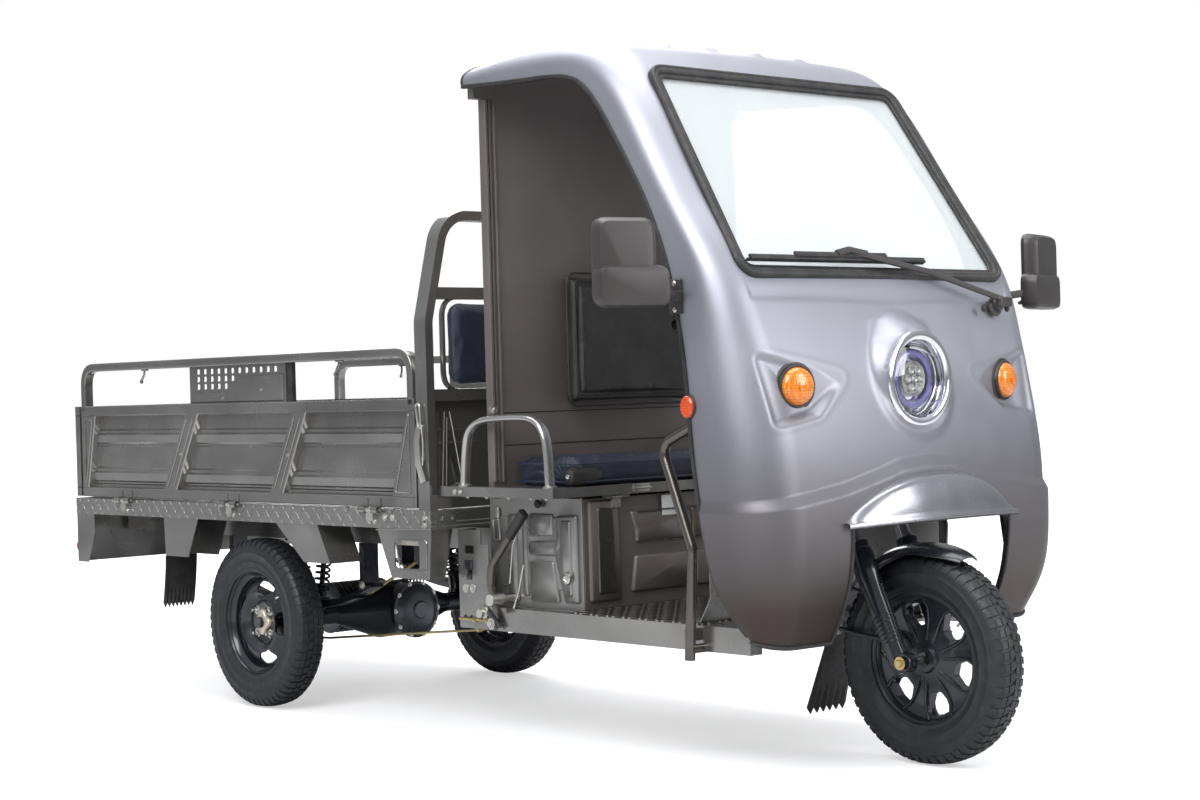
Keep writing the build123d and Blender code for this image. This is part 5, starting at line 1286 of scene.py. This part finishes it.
def puffed(obj, low, high, cap):
    """Swells a closed form as cloth under pressure and keeps it inside the room it has."""
    remesh(obj)
    before = np.empty(len(obj.data.vertices) * 3)
    obj.data.vertices.foreach_get("co", before)
    after = before.copy()
    cloth = obj.modifiers.new("swell", "CLOTH").settings
    cloth.use_pressure = True
    cloth.uniform_pressure_force = 4.0
    cloth.effector_weights.gravity = 0.0
    cloth.quality = 4
    scene = bpy.context.scene
    scene.frame_start, scene.frame_end = 1, 20
    for frame_number in range(1, 21):
        scene.frame_set(frame_number)
    settle(obj)
    scene.frame_set(1)
    obj.data.vertices.foreach_get("co", after)
    step = (after - before).reshape(-1, 3)
    reach = np.linalg.norm(step, axis=1, keepdims=True)
    points = before.reshape(-1, 3) + step * np.minimum(1.0, cap / np.maximum(reach, 1e-9))
    points = np.clip(points, np.array(at(*low)), np.array(at(*high)))
    obj.data.vertices.foreach_set("co", points.ravel())
    obj.data.update()
    mod = obj.modifiers.new("fine", "SUBSURF")
    mod.levels = mod.render_levels = 1
    return settle(obj)


def shift(obj, change):
    """Moves each point by what change gives for its place from the rear axle and the ground."""
    co = np.empty(len(obj.data.vertices) * 3)
    obj.data.vertices.foreach_get("co", co)
    co = co.reshape(-1, 3)
    co += change(co - np.array((REAR_X, 0, 0)))
    obj.data.vertices.foreach_set("co", co.ravel())
    obj.data.update()


def make_soft():
    """The seat with its bolster, the backrest and the headboard's pad."""
    seat = cushion_block((1.25, 0, 0.714), (0.256, 0.838, 0.067), 0.034, 0.02).object("seat_cushion_pad")
    puffed(seat, (1.114, -0.426, 0.6785), (1.385, 0.426, 0.756), 0.014)

    def folds(p):
        x, y, z = p.T
        end = np.clip((-0.345 - y) / 0.07, 0, 1)**1.4
        angle, reach = np.arctan2(z - 0.69, 1.335 - x), np.hypot(z - 0.69, 1.335 - x)
        wave = np.sin(angle * 24 + 3.0 * np.sin(reach * 40))
        wave = wave * smooth(reach, 0.015, 0.07) * (1 - smooth(reach, 0.13, 0.2))
        hollow = 0.005 * (1 - smooth(np.abs(y), 0.0, 0.3)) * (z > 0.71) * (x < 1.34)
        out = np.zeros_like(p)
        out[:, 1] = -0.0035 * wave * end
        out[:, 2] = 0.003 * wave * end * (z > 0.7) - hollow + 0.0012 * np.sin(y * 55 + 6 * x) * (z > 0.72)
        return out

    shift(seat, folds)
    put(seat, "seat_cushion_pad", NAVY, "seat", ["seat_cushion"], 60)
    welt = Mesh()
    for z, grow in ((0.7365, 0.001), (0.69, 0.002)):
        welt.loop([(1.25 + x, y, z) for x, y in rect(0.2575 + grow, 0.8395 + grow, 0.036, 8)], 0.0028, 6)
    put(welt, "seat_welt", NAVY, "seat")
    bulge = ((0.0, -0.436), (0.01, -0.436), (0.019, -0.431), (0.0235, -0.42), (0.023, -0.38), (0.0205, -0.345),
             (0.012, -0.325), (0.0, -0.322))
    rows = [[(1.366 + r * cos(t) * 0.8, y, 0.7045 + r * sin(t)) for t in turns(28)] for r, y in bulge]
    put(Mesh().rows(rows, around=True), "seat_bolster", BLACK_VINYL, "seat")
    stud = Mesh().turned([(0.007, 0), (0.006, 0.003), (0, 0.0045)], (1.366, -0.4355, 0.7045), (0, -1, 0), 14)
    put(stud, "bolster_stud", CHROME, "seat")

    back = cushion_block((1.134, 0, BACK_Z), (0.04, 0.462, 0.357), 0.016, 0.014).object("backrest_pad")
    puffed(back, (1.1055, -0.243, 0.873), (1.166, 0.243, 1.254), 0.013)

    def channels(p):
        out = np.zeros_like(p)
        x, y, z = p.T
        edge = np.minimum(np.minimum(0.232 - np.abs(y), z - 0.884), 1.243 - z)
        groove = np.exp(-((edge - 0.034) / 0.0045)**2) + 0.6 * np.exp(-((edge - 0.012) / 0.004)**2)
        out[:, 0] = -0.006 * groove * (x > 1.135) + 0.0012 * np.sin(y * 31 + z * 23) * (x > 1.14)
        return out

    shift(back, channels)
    put(back, "backrest_pad", BLACK_VINYL, "chassis", ["backrest"], 60)
    trim = Mesh()
    for inset, x in ((0.03, 1.1575), (0.008, 1.149)):
        outline = rect(0.48 - 2 * inset, 0.375 - 2 * inset, max(0.012, 0.045 - inset), 8)
        trim.loop([(x, y, BACK_Z + z) for y, z in outline], 0.0032, 6)
    put(trim, "backrest_welt", BLACK_VINYL, "chassis")

    pad = cushion_block((0.8935, 0, PAD_Z), (0.029, 0.892, 0.236), 0.01, 0.011).object("headboard_cushion")

    def rounded(p):
        out = np.zeros_like(p)
        y, z = np.abs(p[:, 1]), p[:, 2] - PAD_Z
        dy, dz = y - (0.446 - 0.045), np.abs(z) - (0.118 - 0.045)
        far = np.hypot(np.maximum(dy, 0), np.maximum(dz, 0))
        pull = np.where((dy > 0) & (dz > 0) & (far > 0.045), (far - 0.045) / np.maximum(far, 1e-9), 0.0)
        out[:, 1] = -np.sign(p[:, 1]) * pull * np.maximum(dy, 0)
        out[:, 2] = -np.sign(z) * pull * np.maximum(dz, 0)
        return out

    shift(remesh(pad), rounded)
    puffed(pad, (0.8755, -0.455, 0.936), (0.916, 0.455, 1.186), 0.009)
    put(pad, "headboard_cushion", NAVY, "chassis", ["headboard_pad"], 60)
    hoop = Mesh()
    path = [(0.8865, p[0], PAD_Z + p[1]) for p in rect(0.91, 0.252, 0.054, 8)]
    hoop.swept(path, rect(0.008, 0.018, 0.002, 2), up=X, closed=True)
    put(hoop, "pad_hoop", FRAME)


# ------------------------------------------------- battery box, wall and floor
def make_box():
    """The battery box's pressings, lines and fixings, and the cab wall's folds."""
    side_forms, front = Mesh(), Mesh()
    # Each pressing's outline in x and z, how proud it stands, its bevel and its corner radius.
    pressings = (
        ([(1.262, 0.6), (1.345, 0.604), (1.345, 0.374), (1.29, 0.374), (1.256, 0.494), (1.152, 0.494),
          (1.152, 0.53), (1.262, 0.536)], 0.008, 0.006, 0.008),
        ([(1.288, 0.588), (1.328, 0.59), (1.328, 0.392), (1.302, 0.392), (1.28, 0.486)], 0.014, 0.005, 0.006),
        ([(1.064, 0.6), (1.1, 0.6), (1.1, 0.384), (1.064, 0.384)], 0.008, 0.006, 0.008),
        ([(1.122, 0.602), (1.142, 0.602), (1.142, 0.384), (1.122, 0.384)], 0.005, 0.004, 0.005),
        ([(1.152, 0.604), (1.246, 0.604), (1.246, 0.548), (1.152, 0.542)], 0.004, 0.003, 0.008),
        ([(1.152, 0.48), (1.246, 0.48), (1.268, 0.372), (1.152, 0.372)], 0.004, 0.003, 0.008),
    )
    for side in SIDES:
        for outline, proud, bevel, r in pressings:
            depth = -side * (proud + 0.0035)
            side_forms.prism(filleted(outline, r, 4), (0, side * 0.3845, 0), X, Z, depth, bevel)
        side_forms.tube([(1.361, side * 0.388, 0.648), (1.361, side * 0.388, 0.356)], 0.0025, 6)
    put(side_forms, "box_side_pressings", SILVER, angle=50)

    # Painted shade: a thin dark plate over the box's front, and dark wall paint on its pressings, stand in for the
    # shade the front lies in.
    front.block(1.3625, 1.3665, -0.386, 0.386, 0.3585, 0.6445)
    for outline, proud in (
            ([(-0.372, 0.64), (-0.268, 0.64), (-0.262, 0.376), (-0.372, 0.376)], 0.01),
            ([(-0.226, 0.606), (-0.206, 0.556), (-0.206, 0.52), (-0.001, 0.52), (-0.001, 0.606)], 0.009),
            ([(-0.212, 0.488), (-0.228, 0.392), (-0.001, 0.392), (-0.001, 0.488)], 0.012)):
        for flip in (1, -1):
            front.prism(filleted([(flip * y, z) for y, z in outline], 0.01, 4), (1.364, 0, 0), Y, Z, proud, 0.006)
    put(front, "box_front_painted_shade", WALL_AND_BOX_SHADE, angle=50)
    inlay = Mesh()
    panel = [(-0.346, 0.622), (-0.292, 0.618), (-0.286, 0.396), (-0.346, 0.396)]
    for flip in (1, -1):
        shape = filleted([(flip * y, z) for y, z in panel], 0.008, 3)
        inlay.prism(shape, (1.3735, 0, 0), Y, Z, 0.0035, 0.003)
        for z in (0.6045, 0.5215):
            inlay.tube([(1.3755, flip * -0.204, z), (1.3755, 0, z)], 0.0022, 6)
    put(inlay, "box_front_inlay", BRONZE)
    label = Mesh().block(1.3735, 1.375, -0.114, -0.044, 0.588, 0.642, 0.0005)
    put(label, "blank_label", PLATE)
    fixings = Mesh()
    for side in SIDES:
        lock = [(0.017, 0), (0.015, 0.006), (0.009, 0.008), (0.006, 0.004), (0, 0.004)]
        fixings.turned(lock, (1.317, side * 0.403, 0.44), (0, side, 0), 20)
        for x in (1.02, 1.1, 1.19, 1.28, 1.34):
            fixings.bolt((x, side * 0.4885, 0.6515), (0, 0, -1), 0.005)
        hasp = filleted([(1.012, 0.585), (1.034, 0.585), (1.038, 0.53), (1.014, 0.53)], 0.006, 3)
        fixings.loop([(x, side * 0.3965, z) for x, z in hasp], 0.0028, 6)
        fixings.prism(rect(0.014, 0.03, 0.004, 3), (1.024, side * 0.388, 0.602), X, Z, -side * 0.008, 0.002)
        fixings.bolt((1.105, side * 0.463, 0.878), X, 0.009)
        for x in (0.985, 1.008):
            fixings.bolt((x, side * 0.5055, 0.664), (0, side, 0), 0.0045)
    for y in (-0.2, 0.2):
        fixings.block(1.3855, 1.3895, y - 0.03, y + 0.03, 0.656, 0.676, 0.001)
        fixings.tube([(1.391, y - 0.034, 0.666), (1.391, y + 0.034, 0.666)], 0.003, 8)
    put(fixings, "box_fixings", ZINC)

    wall = Mesh()
    for side in SIDES:
        wall.block(1.105, 1.112, side * 0.432, side * 0.44, 0.69, 1.7, 0.002)
        wall.block(1.105, 1.109, side * 0.4475, side * 0.4525, 0.69, 1.7, 0.001)
        wall.block(1.098, 1.111, side * 0.458, side * 0.468, 0.69, 1.7, 0.003)
    for z in (0.786, 0.872):
        wall.block(1.105, 1.1062, -0.436, 0.436, z, z + 0.0035)
    put(wall, "wall_folds", WALL_AND_BOX_SHADE)
    seams = Mesh()
    for z in (0.7835, 0.8695):
        seams.block(1.1045, 1.1056, -0.436, 0.436, z, z + 0.0025)
    put(seams, "wall_seams", DARK)


# --------------------------------------------------------------- under the bed
def coil(mesh, low, high, r, wire, rounds):
    """A spring of so many rounds between two points."""
    low, high = Vector(low), Vector(high)
    axis = (high - low).normalized()
    u = axis.orthogonal().normalized()
    v = axis.cross(u)
    steps = rounds * 14
    ring = [(u * x + v * y) * r for x, y in circle(1.0, 14)]
    mesh.tube([low.lerp(high, k / steps) + ring[k % 14] for k in range(steps + 1)], wire, 6)


def notched(y0, y1, bottom, teeth):
    """The toothed lower edge of a mudflap, as (y, z) pairs."""
    return [(y0 + (y1 - y0) * k / (2 * teeth), bottom - (0.016 if k % 2 else 0.0)) for k in range(2 * teeth + 1)]


def hang(mesh, rows, thick):
    """A rubber sheet through rows of points, with its back and its two side edges."""
    back = [[(x - thick, y, z) for x, y, z in row] for row in rows]
    mesh.rows(rows + back[::-1] + rows[:1])
    for end in (0, -1):
        mesh.rows([[row[end] for row in rows], [row[end] for row in back]])


SPRING_Y, LEAF_R = 0.33, 1.06                         # a leaf spring's place and its curve
BRACKET_Y = -0.4443                                     # outer face of the brake's bracket


def make_running_gear():
    struts, dark, zinc, brass, black = Mesh(), Mesh(), Mesh(), Mesh(), Mesh()
    body = [(0.0, 0), (0.016, 0), (0.0175, 0.004), (0.0175, 0.062), (0.014, 0.066), (0, 0.066)]
    cap = [(0, 0), (0.022, 0), (0.023, 0.003), (0.012, 0.012), (0, 0.012)]
    for side in SIDES:
        y = side * 0.288
        for x in (-0.07, 0.07):
            foot, head = Vector((x * 0.45, y, 0.286)), Vector((x, y, 0.49))
            ahead = (head - foot).normalized()
            struts.tube([foot, head], 0.0085, 12)
            struts.turned(body, foot, ahead, 18)
            struts.turned(cap, head - ahead * 0.016, ahead, 18)
            struts.turned([(0.017, 0), (0.025, 0.002), (0.025, 0.006), (0.017, 0.008)], foot + ahead * 0.05, ahead, 18)
            coil(struts, foot + ahead * 0.058, head - ahead * 0.016, 0.021, 0.0038, 7)
            struts.turned(band(0.006, 0.013, 0.014), foot, Y, 16)
            struts.block(x - 0.019, x + 0.019, side * 0.272, side * 0.329, 0.488, 0.4955, 0.002)
        for k, half in enumerate((0.3, 0.235, 0.17, 0.11)):
            arc = [(x, LEAF_R - sqrt(LEAF_R**2 - x * x)) for x in half * np.linspace(-1, 1, 15)]
            line = [(x, side * SPRING_Y, 0.2885 + 0.0078 * k + rise) for x, rise in arc]
            black.swept(line, rect(0.046, 0.0062, 0.0015, 2), up=Z)
        for x in (-0.03, 0.03):
            for y in (side * 0.3, side * 0.36):
                zinc.tube([(x, y, 0.33), (x, y, 0.224)], 0.0045, 8)
            for y in (side * 0.3, side * 0.36):
                zinc.bolt((x, y, 0.226), (0, 0, -1), 0.007)
        black.block(-0.045, 0.045, side * 0.29, side * 0.37, 0.222, 0.23, 0.003)
        black.block(-0.045, 0.045, side * 0.292, side * 0.368, 0.316, 0.326, 0.003)
        for x in (-0.348, 0.348):
            zinc.tube([(x, side * 0.302, 0.372), (x, side * 0.358, 0.372)], 0.006, 10)
            zinc.bolt((x, side * 0.3565, 0.372), (0, side, 0), 0.008)
    cover, motor = Vector((0.104, 0.022, 0.254)), X
    end = [(0.082, -0.004), (0.088, 0.0), (0.088, 0.006), (0.079, 0.008), (0.074, 0.014), (0.052, 0.021),
           (0.028, 0.024), (0.024, 0.03), (0, 0.03)]
    dark.turned(end, cover, motor, 48)
    for y, z in circle(0.082, 10):
        zinc.bolt(cover + Vector((0.007, y, z)), motor, 0.0045)
    bell = [(0.077, -0.004), (0.08, 0), (0.08, 0.005), (0.07, 0.008), (0.045, 0.01), (0, 0.01)]
    for y, out in ((0.0405, 1), (-0.152, -1)):
        dark.turned(bell, (-0.112, y, 0.262), (0, out, 0), 40)
    fin = [(0.0765, 0), (0.0795, 0.0015), (0.0795, 0.005), (0.0765, 0.0065)]
    for k in range(9):
        dark.turned(fin, (-0.112, -0.135 + 0.018 * k, 0.262), Y, 40)
    rod = [(-0.06, -0.35, 0.196), (0.168, -0.35, 0.205), (0.817, -0.35, 0.268), (0.935, -0.38, 0.281)]
    brass.tube(rod, 0.0035, 8)
    for x, y, z in ((0.905, -0.376, 0.28), (0.985, -0.452, 0.318), (1.04, -0.452, 0.318)):
        brass.turned([(0.0045, 0), (0.0085, 0.001), (0.0085, 0.013), (0.0045, 0.014)], (x, y, z), (1, 0, 0.06), 10)
    brass.tube([(0.925, -0.452, 0.318), (1.06, -0.452, 0.318)], 0.004, 8)
    brass.tube([(0.095, -0.33, 0.3), (0.18, -0.2, 0.33), (0.3, -0.12, 0.42)], 0.005, 8)
    for x, z in ((0.945, 0.4), (0.975, 0.401), (0.995, 0.322), (1.02, 0.33)):
        zinc.bolt((x, BRACKET_Y, z), (0, -1, 0), 0.007)
    for x0, x1, z0, z1 in ((0.944, 0.978, 0.452, 0.476), (0.952, 0.972, 0.424, 0.44)):
        black.block(x0, x1, -0.448, -0.443, z0, z1, 0.003)
    boss = [(0.022, 0), (0.022, 0.004), (0.012, 0.006), (0.012, 0.014), (0, 0.014)]
    zinc.turned(boss, (1.016, BRACKET_Y, 0.336), (0, -1, 0), 24)
    link = [(1.052, -0.455, 0.345), (1.07, -0.455, 0.33), (1.088, -0.455, 0.3)]
    black.swept(link, rect(0.02, 0.006, 0.002, 2), up=Y)
    zinc.bolt((1.066, -0.458, 0.312), (0, -1, 0), 0.009)
    zinc.tube([(1.1, -0.43, 0.3), (1.15, -0.43, 0.4), (1.172, -0.43, 0.47)], 0.0028, 6)
    zinc.tube([(1.12, -0.435, 0.42), (1.135, -0.435, 0.52), (1.17, -0.425, 0.6)], 0.0022, 6)
    put(struts, "suspension_struts", BLACK, replaces=["shock_absorbers"])
    put(dark, "axle_covers", COVER)
    put(black, "under_frame_black", BLACK)
    put(zinc, "under_frame_zinc", ZINC)
    put(brass, "brake_linkage", BRASS)

    flaps, front_flap = Mesh(), Mesh()
    for side in SIDES:
        edge = notched(side * 0.526, side * 0.414, 0.29, 8)
        rows = [[(-0.46 - 0.022 * f**1.5, y, 0.4395 * (1 - f) + z * f) for y, z in edge] for f in np.linspace(0, 1, 9)]
        hang(flaps, rows, 0.005)
    put(flaps, "rear_mudflaps", RUBBER, replaces=["mudflaps"], angle=30)
    edge = notched(-0.072, 0.072, 0.112, 6)
    rows = [[(1.905 - 0.065 * f, y * (0.72 + 0.28 * f), 0.31 * (1 - f) + z * f) for y, z in edge]
            for f in np.linspace(0, 1, 7)]
    hang(front_flap, rows, 0.004)
    put(front_flap, "front_mudflap", RUBBER, "steering", angle=30)


RAIL_Y = 0.4925                                         # a grab rail's distance from the middle


def cut_corners(line):
    """Points a quarter in from both ends of every stretch of a line."""
    return [p.lerp(q, share) for p, q in zip(line, line[1:]) for share in (0.25, 0.75)]


def make_controls():
    lever, grip = Mesh(), Mesh()
    path = [(1.1, -0.462, 0.34), (1.08, -0.468, 0.42), (1.09, -0.47, 0.47), (1.222, -0.47, 0.608)]
    lever.swept(round_corners(path, 0.05, 6, False), rect(0.022, 0.016, 0.006, 3), up=Y)
    put(lever, "handbrake_bar", BRONZE, replaces=["handbrake_lever"])
    a, b = Vector((1.165, -0.47, 0.548)), Vector((1.226, -0.47, 0.612))
    grip.swept([a, a.lerp(b, 0.5), b], rect(0.026, 0.021, 0.007, 4), up=Y)
    button = [(0.0, 0), (0.011, 0), (0.012, 0.006), (0.008, 0.01), (0, 0.01)]
    grip.turned(button, (1.196, -0.392, 0.63), (0, -1, 0), 8)
    put(grip, "handbrake_grip", RUBBER)
    pin = [(0, -0.485), (0.016, -0.485), (0.016, -0.44), (0.01, -0.44), (0.01, -0.388), (0, -0.388)]
    pivot = Mesh().turned(pin, (1.094, 0, 0.378), Y, 20)
    put(pivot, "handbrake_pivot", ZINC)
    bars = Mesh()
    for side in SIDES:
        y0, y1 = sorted((side * 0.23, side * 0.338))
        profile = [(0.0135, y0)]
        for k in range(14):
            y = y0 + (y1 - y0) * (k + 0.5) / 14
            profile += [(0.0165, y - 0.002), (0.0178, y), (0.0165, y + 0.002)]
        bars.turned(profile + [(0.0135, y1)], (1.675, 0, 1.083), Y, 20)
    put(bars, "handlebar_grips", RUBBER, "steering")
    rails = Mesh()
    for side in SIDES:
        path = [(1.014, 0.676), (1.022, 0.77), (1.034, 0.82), (1.066, 0.846), (1.11, 0.855), (1.18, 0.859),
                (1.27, 0.86), (1.312, 0.852), (1.341, 0.828), (1.355, 0.79), (1.361, 0.676)]
        line = [Vector((x, side * RAIL_Y, z)) for x, z in path]
        rails.swept([line[0], *cut_corners(cut_corners(line)), line[-1]], oval(0.009, 0.015, 20), up=Y)
        for x in (1.014, 1.361):
            rails.turned([(0.019, 0), (0.019, 0.004), (0.012, 0.008)], (x, side * RAIL_Y, 0.6785), Z, 18)
    put(rails, "grab_rail_tubes", GUARD, "seat", ["grab_rails"], 40)
    guards = Mesh()
    for side in SIDES:
        guards.tube([(1.838, side * 0.47, 0.3), (1.85, side * 0.33, 0.3)], 0.011, 12)
        guards.bolt((1.8, side * 0.44, 0.318), (0, side, 0), 0.007)
    put(guards, "guard_brackets", BRONZE)


make_soft()
make_box()
make_running_gear()
make_controls()


# ---------------------------------------------------------- camera and lights
CAMERA_AT = (5.6067, -4.1506, 0.935)
YAW, PITCH, ROLL = (radians(a) for a in (137.8918, -0.3597, -1.6009))
FOCAL_SHARE = 2201.96 / 1200.0


def add_camera():
    ahead = Vector((cos(YAW) * cos(PITCH), sin(YAW) * cos(PITCH), sin(PITCH)))
    right = Vector((sin(YAW), -cos(YAW), 0.0))
    up = right.cross(ahead)
    right, up = (cos(ROLL) * right + sin(ROLL) * up, cos(ROLL) * up - sin(ROLL) * right)
    data = bpy.data.cameras.new("camera")
    data.sensor_width = 36.0
    data.lens = 36.0 * FOCAL_SHARE
    cam = linked("camera", data)
    turn = Matrix((right, up, -ahead)).transposed().to_4x4()
    cam.matrix_world = Matrix.Translation(at(*CAMERA_AT)) @ turn
    bpy.context.scene.camera = cam


def area(name, place, target, size, power):
    data = bpy.data.lights.new(name, "AREA")
    data.shape = "RECTANGLE"
    data.size, data.size_y = size
    data.energy = power
    lamp = linked(name, data)
    lamp.location = place
    lamp.rotation_mode = "QUATERNION"
    lamp.rotation_quaternion = (Vector(target) - Vector(place)).to_track_quat("-Z", "Y")


def add_world():
    """White where the camera looks past the object, soft grey light elsewhere."""
    world = bpy.data.worlds.new("studio")
    bpy.context.scene.world = world
    world.use_nodes = True
    nodes, links = world.node_tree.nodes, world.node_tree.links
    nodes.clear()
    out = nodes.new("ShaderNodeOutputWorld")
    mix = nodes.new("ShaderNodeMixShader")
    seen, light = nodes.new("ShaderNodeBackground"), nodes.new("ShaderNodeBackground")
    seen.inputs["Color"].default_value = (1, 1, 1, 1)
    seen.inputs["Strength"].default_value = 1.0
    facing = nodes.new("ShaderNodeTexCoord").outputs["Generated"]
    height = nodes.new("ShaderNodeSeparateXYZ")
    ramp = nodes.new("ShaderNodeMapRange")
    for key, value in (("From Min", -0.05), ("From Max", 0.75), ("To Min", 0.26), ("To Max", 0.8)):
        ramp.inputs[key].default_value = value
    links.new(facing, height.inputs[0])
    links.new(height.outputs[2], ramp.inputs["Value"])
    links.new(ramp.outputs[0], light.inputs["Strength"])
    light.inputs["Color"].default_value = (0.92, 0.95, 1.0, 1)
    path = nodes.new("ShaderNodeLightPath")
    straight = nodes.new("ShaderNodeMath")
    straight.operation = "MAXIMUM"
    links.new(path.outputs["Is Camera Ray"], straight.inputs[0])
    links.new(path.outputs["Is Transmission Ray"], straight.inputs[1])
    links.new(straight.outputs[0], mix.inputs[0])
    links.new(light.outputs[0], mix.inputs[1])
    links.new(seen.outputs[0], mix.inputs[2])
    links.new(mix.outputs[0], out.inputs["Surface"])


def add_floor():
    """A pale floor that clips to white in the light and keeps its shadows."""
    mesh = bpy.data.meshes.new("floor")
    bm = bmesh.new()
    bmesh.ops.create_grid(bm, x_segments=8, y_segments=8, size=40.0)
    bm.to_mesh(mesh)
    bm.free()
    floor = linked("floor", mesh)
    s = Shader("floor", Roughness=0.9)
    s.mottle(0.8, 3.0, 0.3, 0.7, (0.6, 0.6, 0.61), (0.58, 0.58, 0.59))
    s.bsdf.inputs["Specular IOR Level"].default_value = 0.1
    s.bsdf.inputs["Emission Color"].default_value = (1, 1, 1, 1)
    seen = s.node("ShaderNodeLightPath").outputs["Is Camera Ray"]
    away = s.node("ShaderNodeVectorMath", {0: s.coord}, operation="LENGTH").outputs["Value"]
    glow = s.remap(away, 2.4, 6.0, 0.5, 1.0)
    s.tree.links.new(s.math("MULTIPLY", seen, glow), s.bsdf.inputs["Emission Strength"])
    mesh.materials.append(s.mat)


add_camera()
add_world()
add_floor()
area("key", at(3.6, -5.2, 5.4), at(0.8, 0, 0.7), (4.5, 4.5), 520)
area("top", at(0.6, 0.4, 5.6), at(0.6, 0, 0.8), (6.0, 4.0), 330)
area("rim", at(-3.8, 3.6, 3.6), at(0.6, 0, 0.9), (3.5, 3.0), 210)
area("front", at(6.8, 1.8, 2.6), at(1.6, 0, 0.9), (2.5, 3.0), 170)
bpy.context.scene.view_settings.view_transform = "Standard"
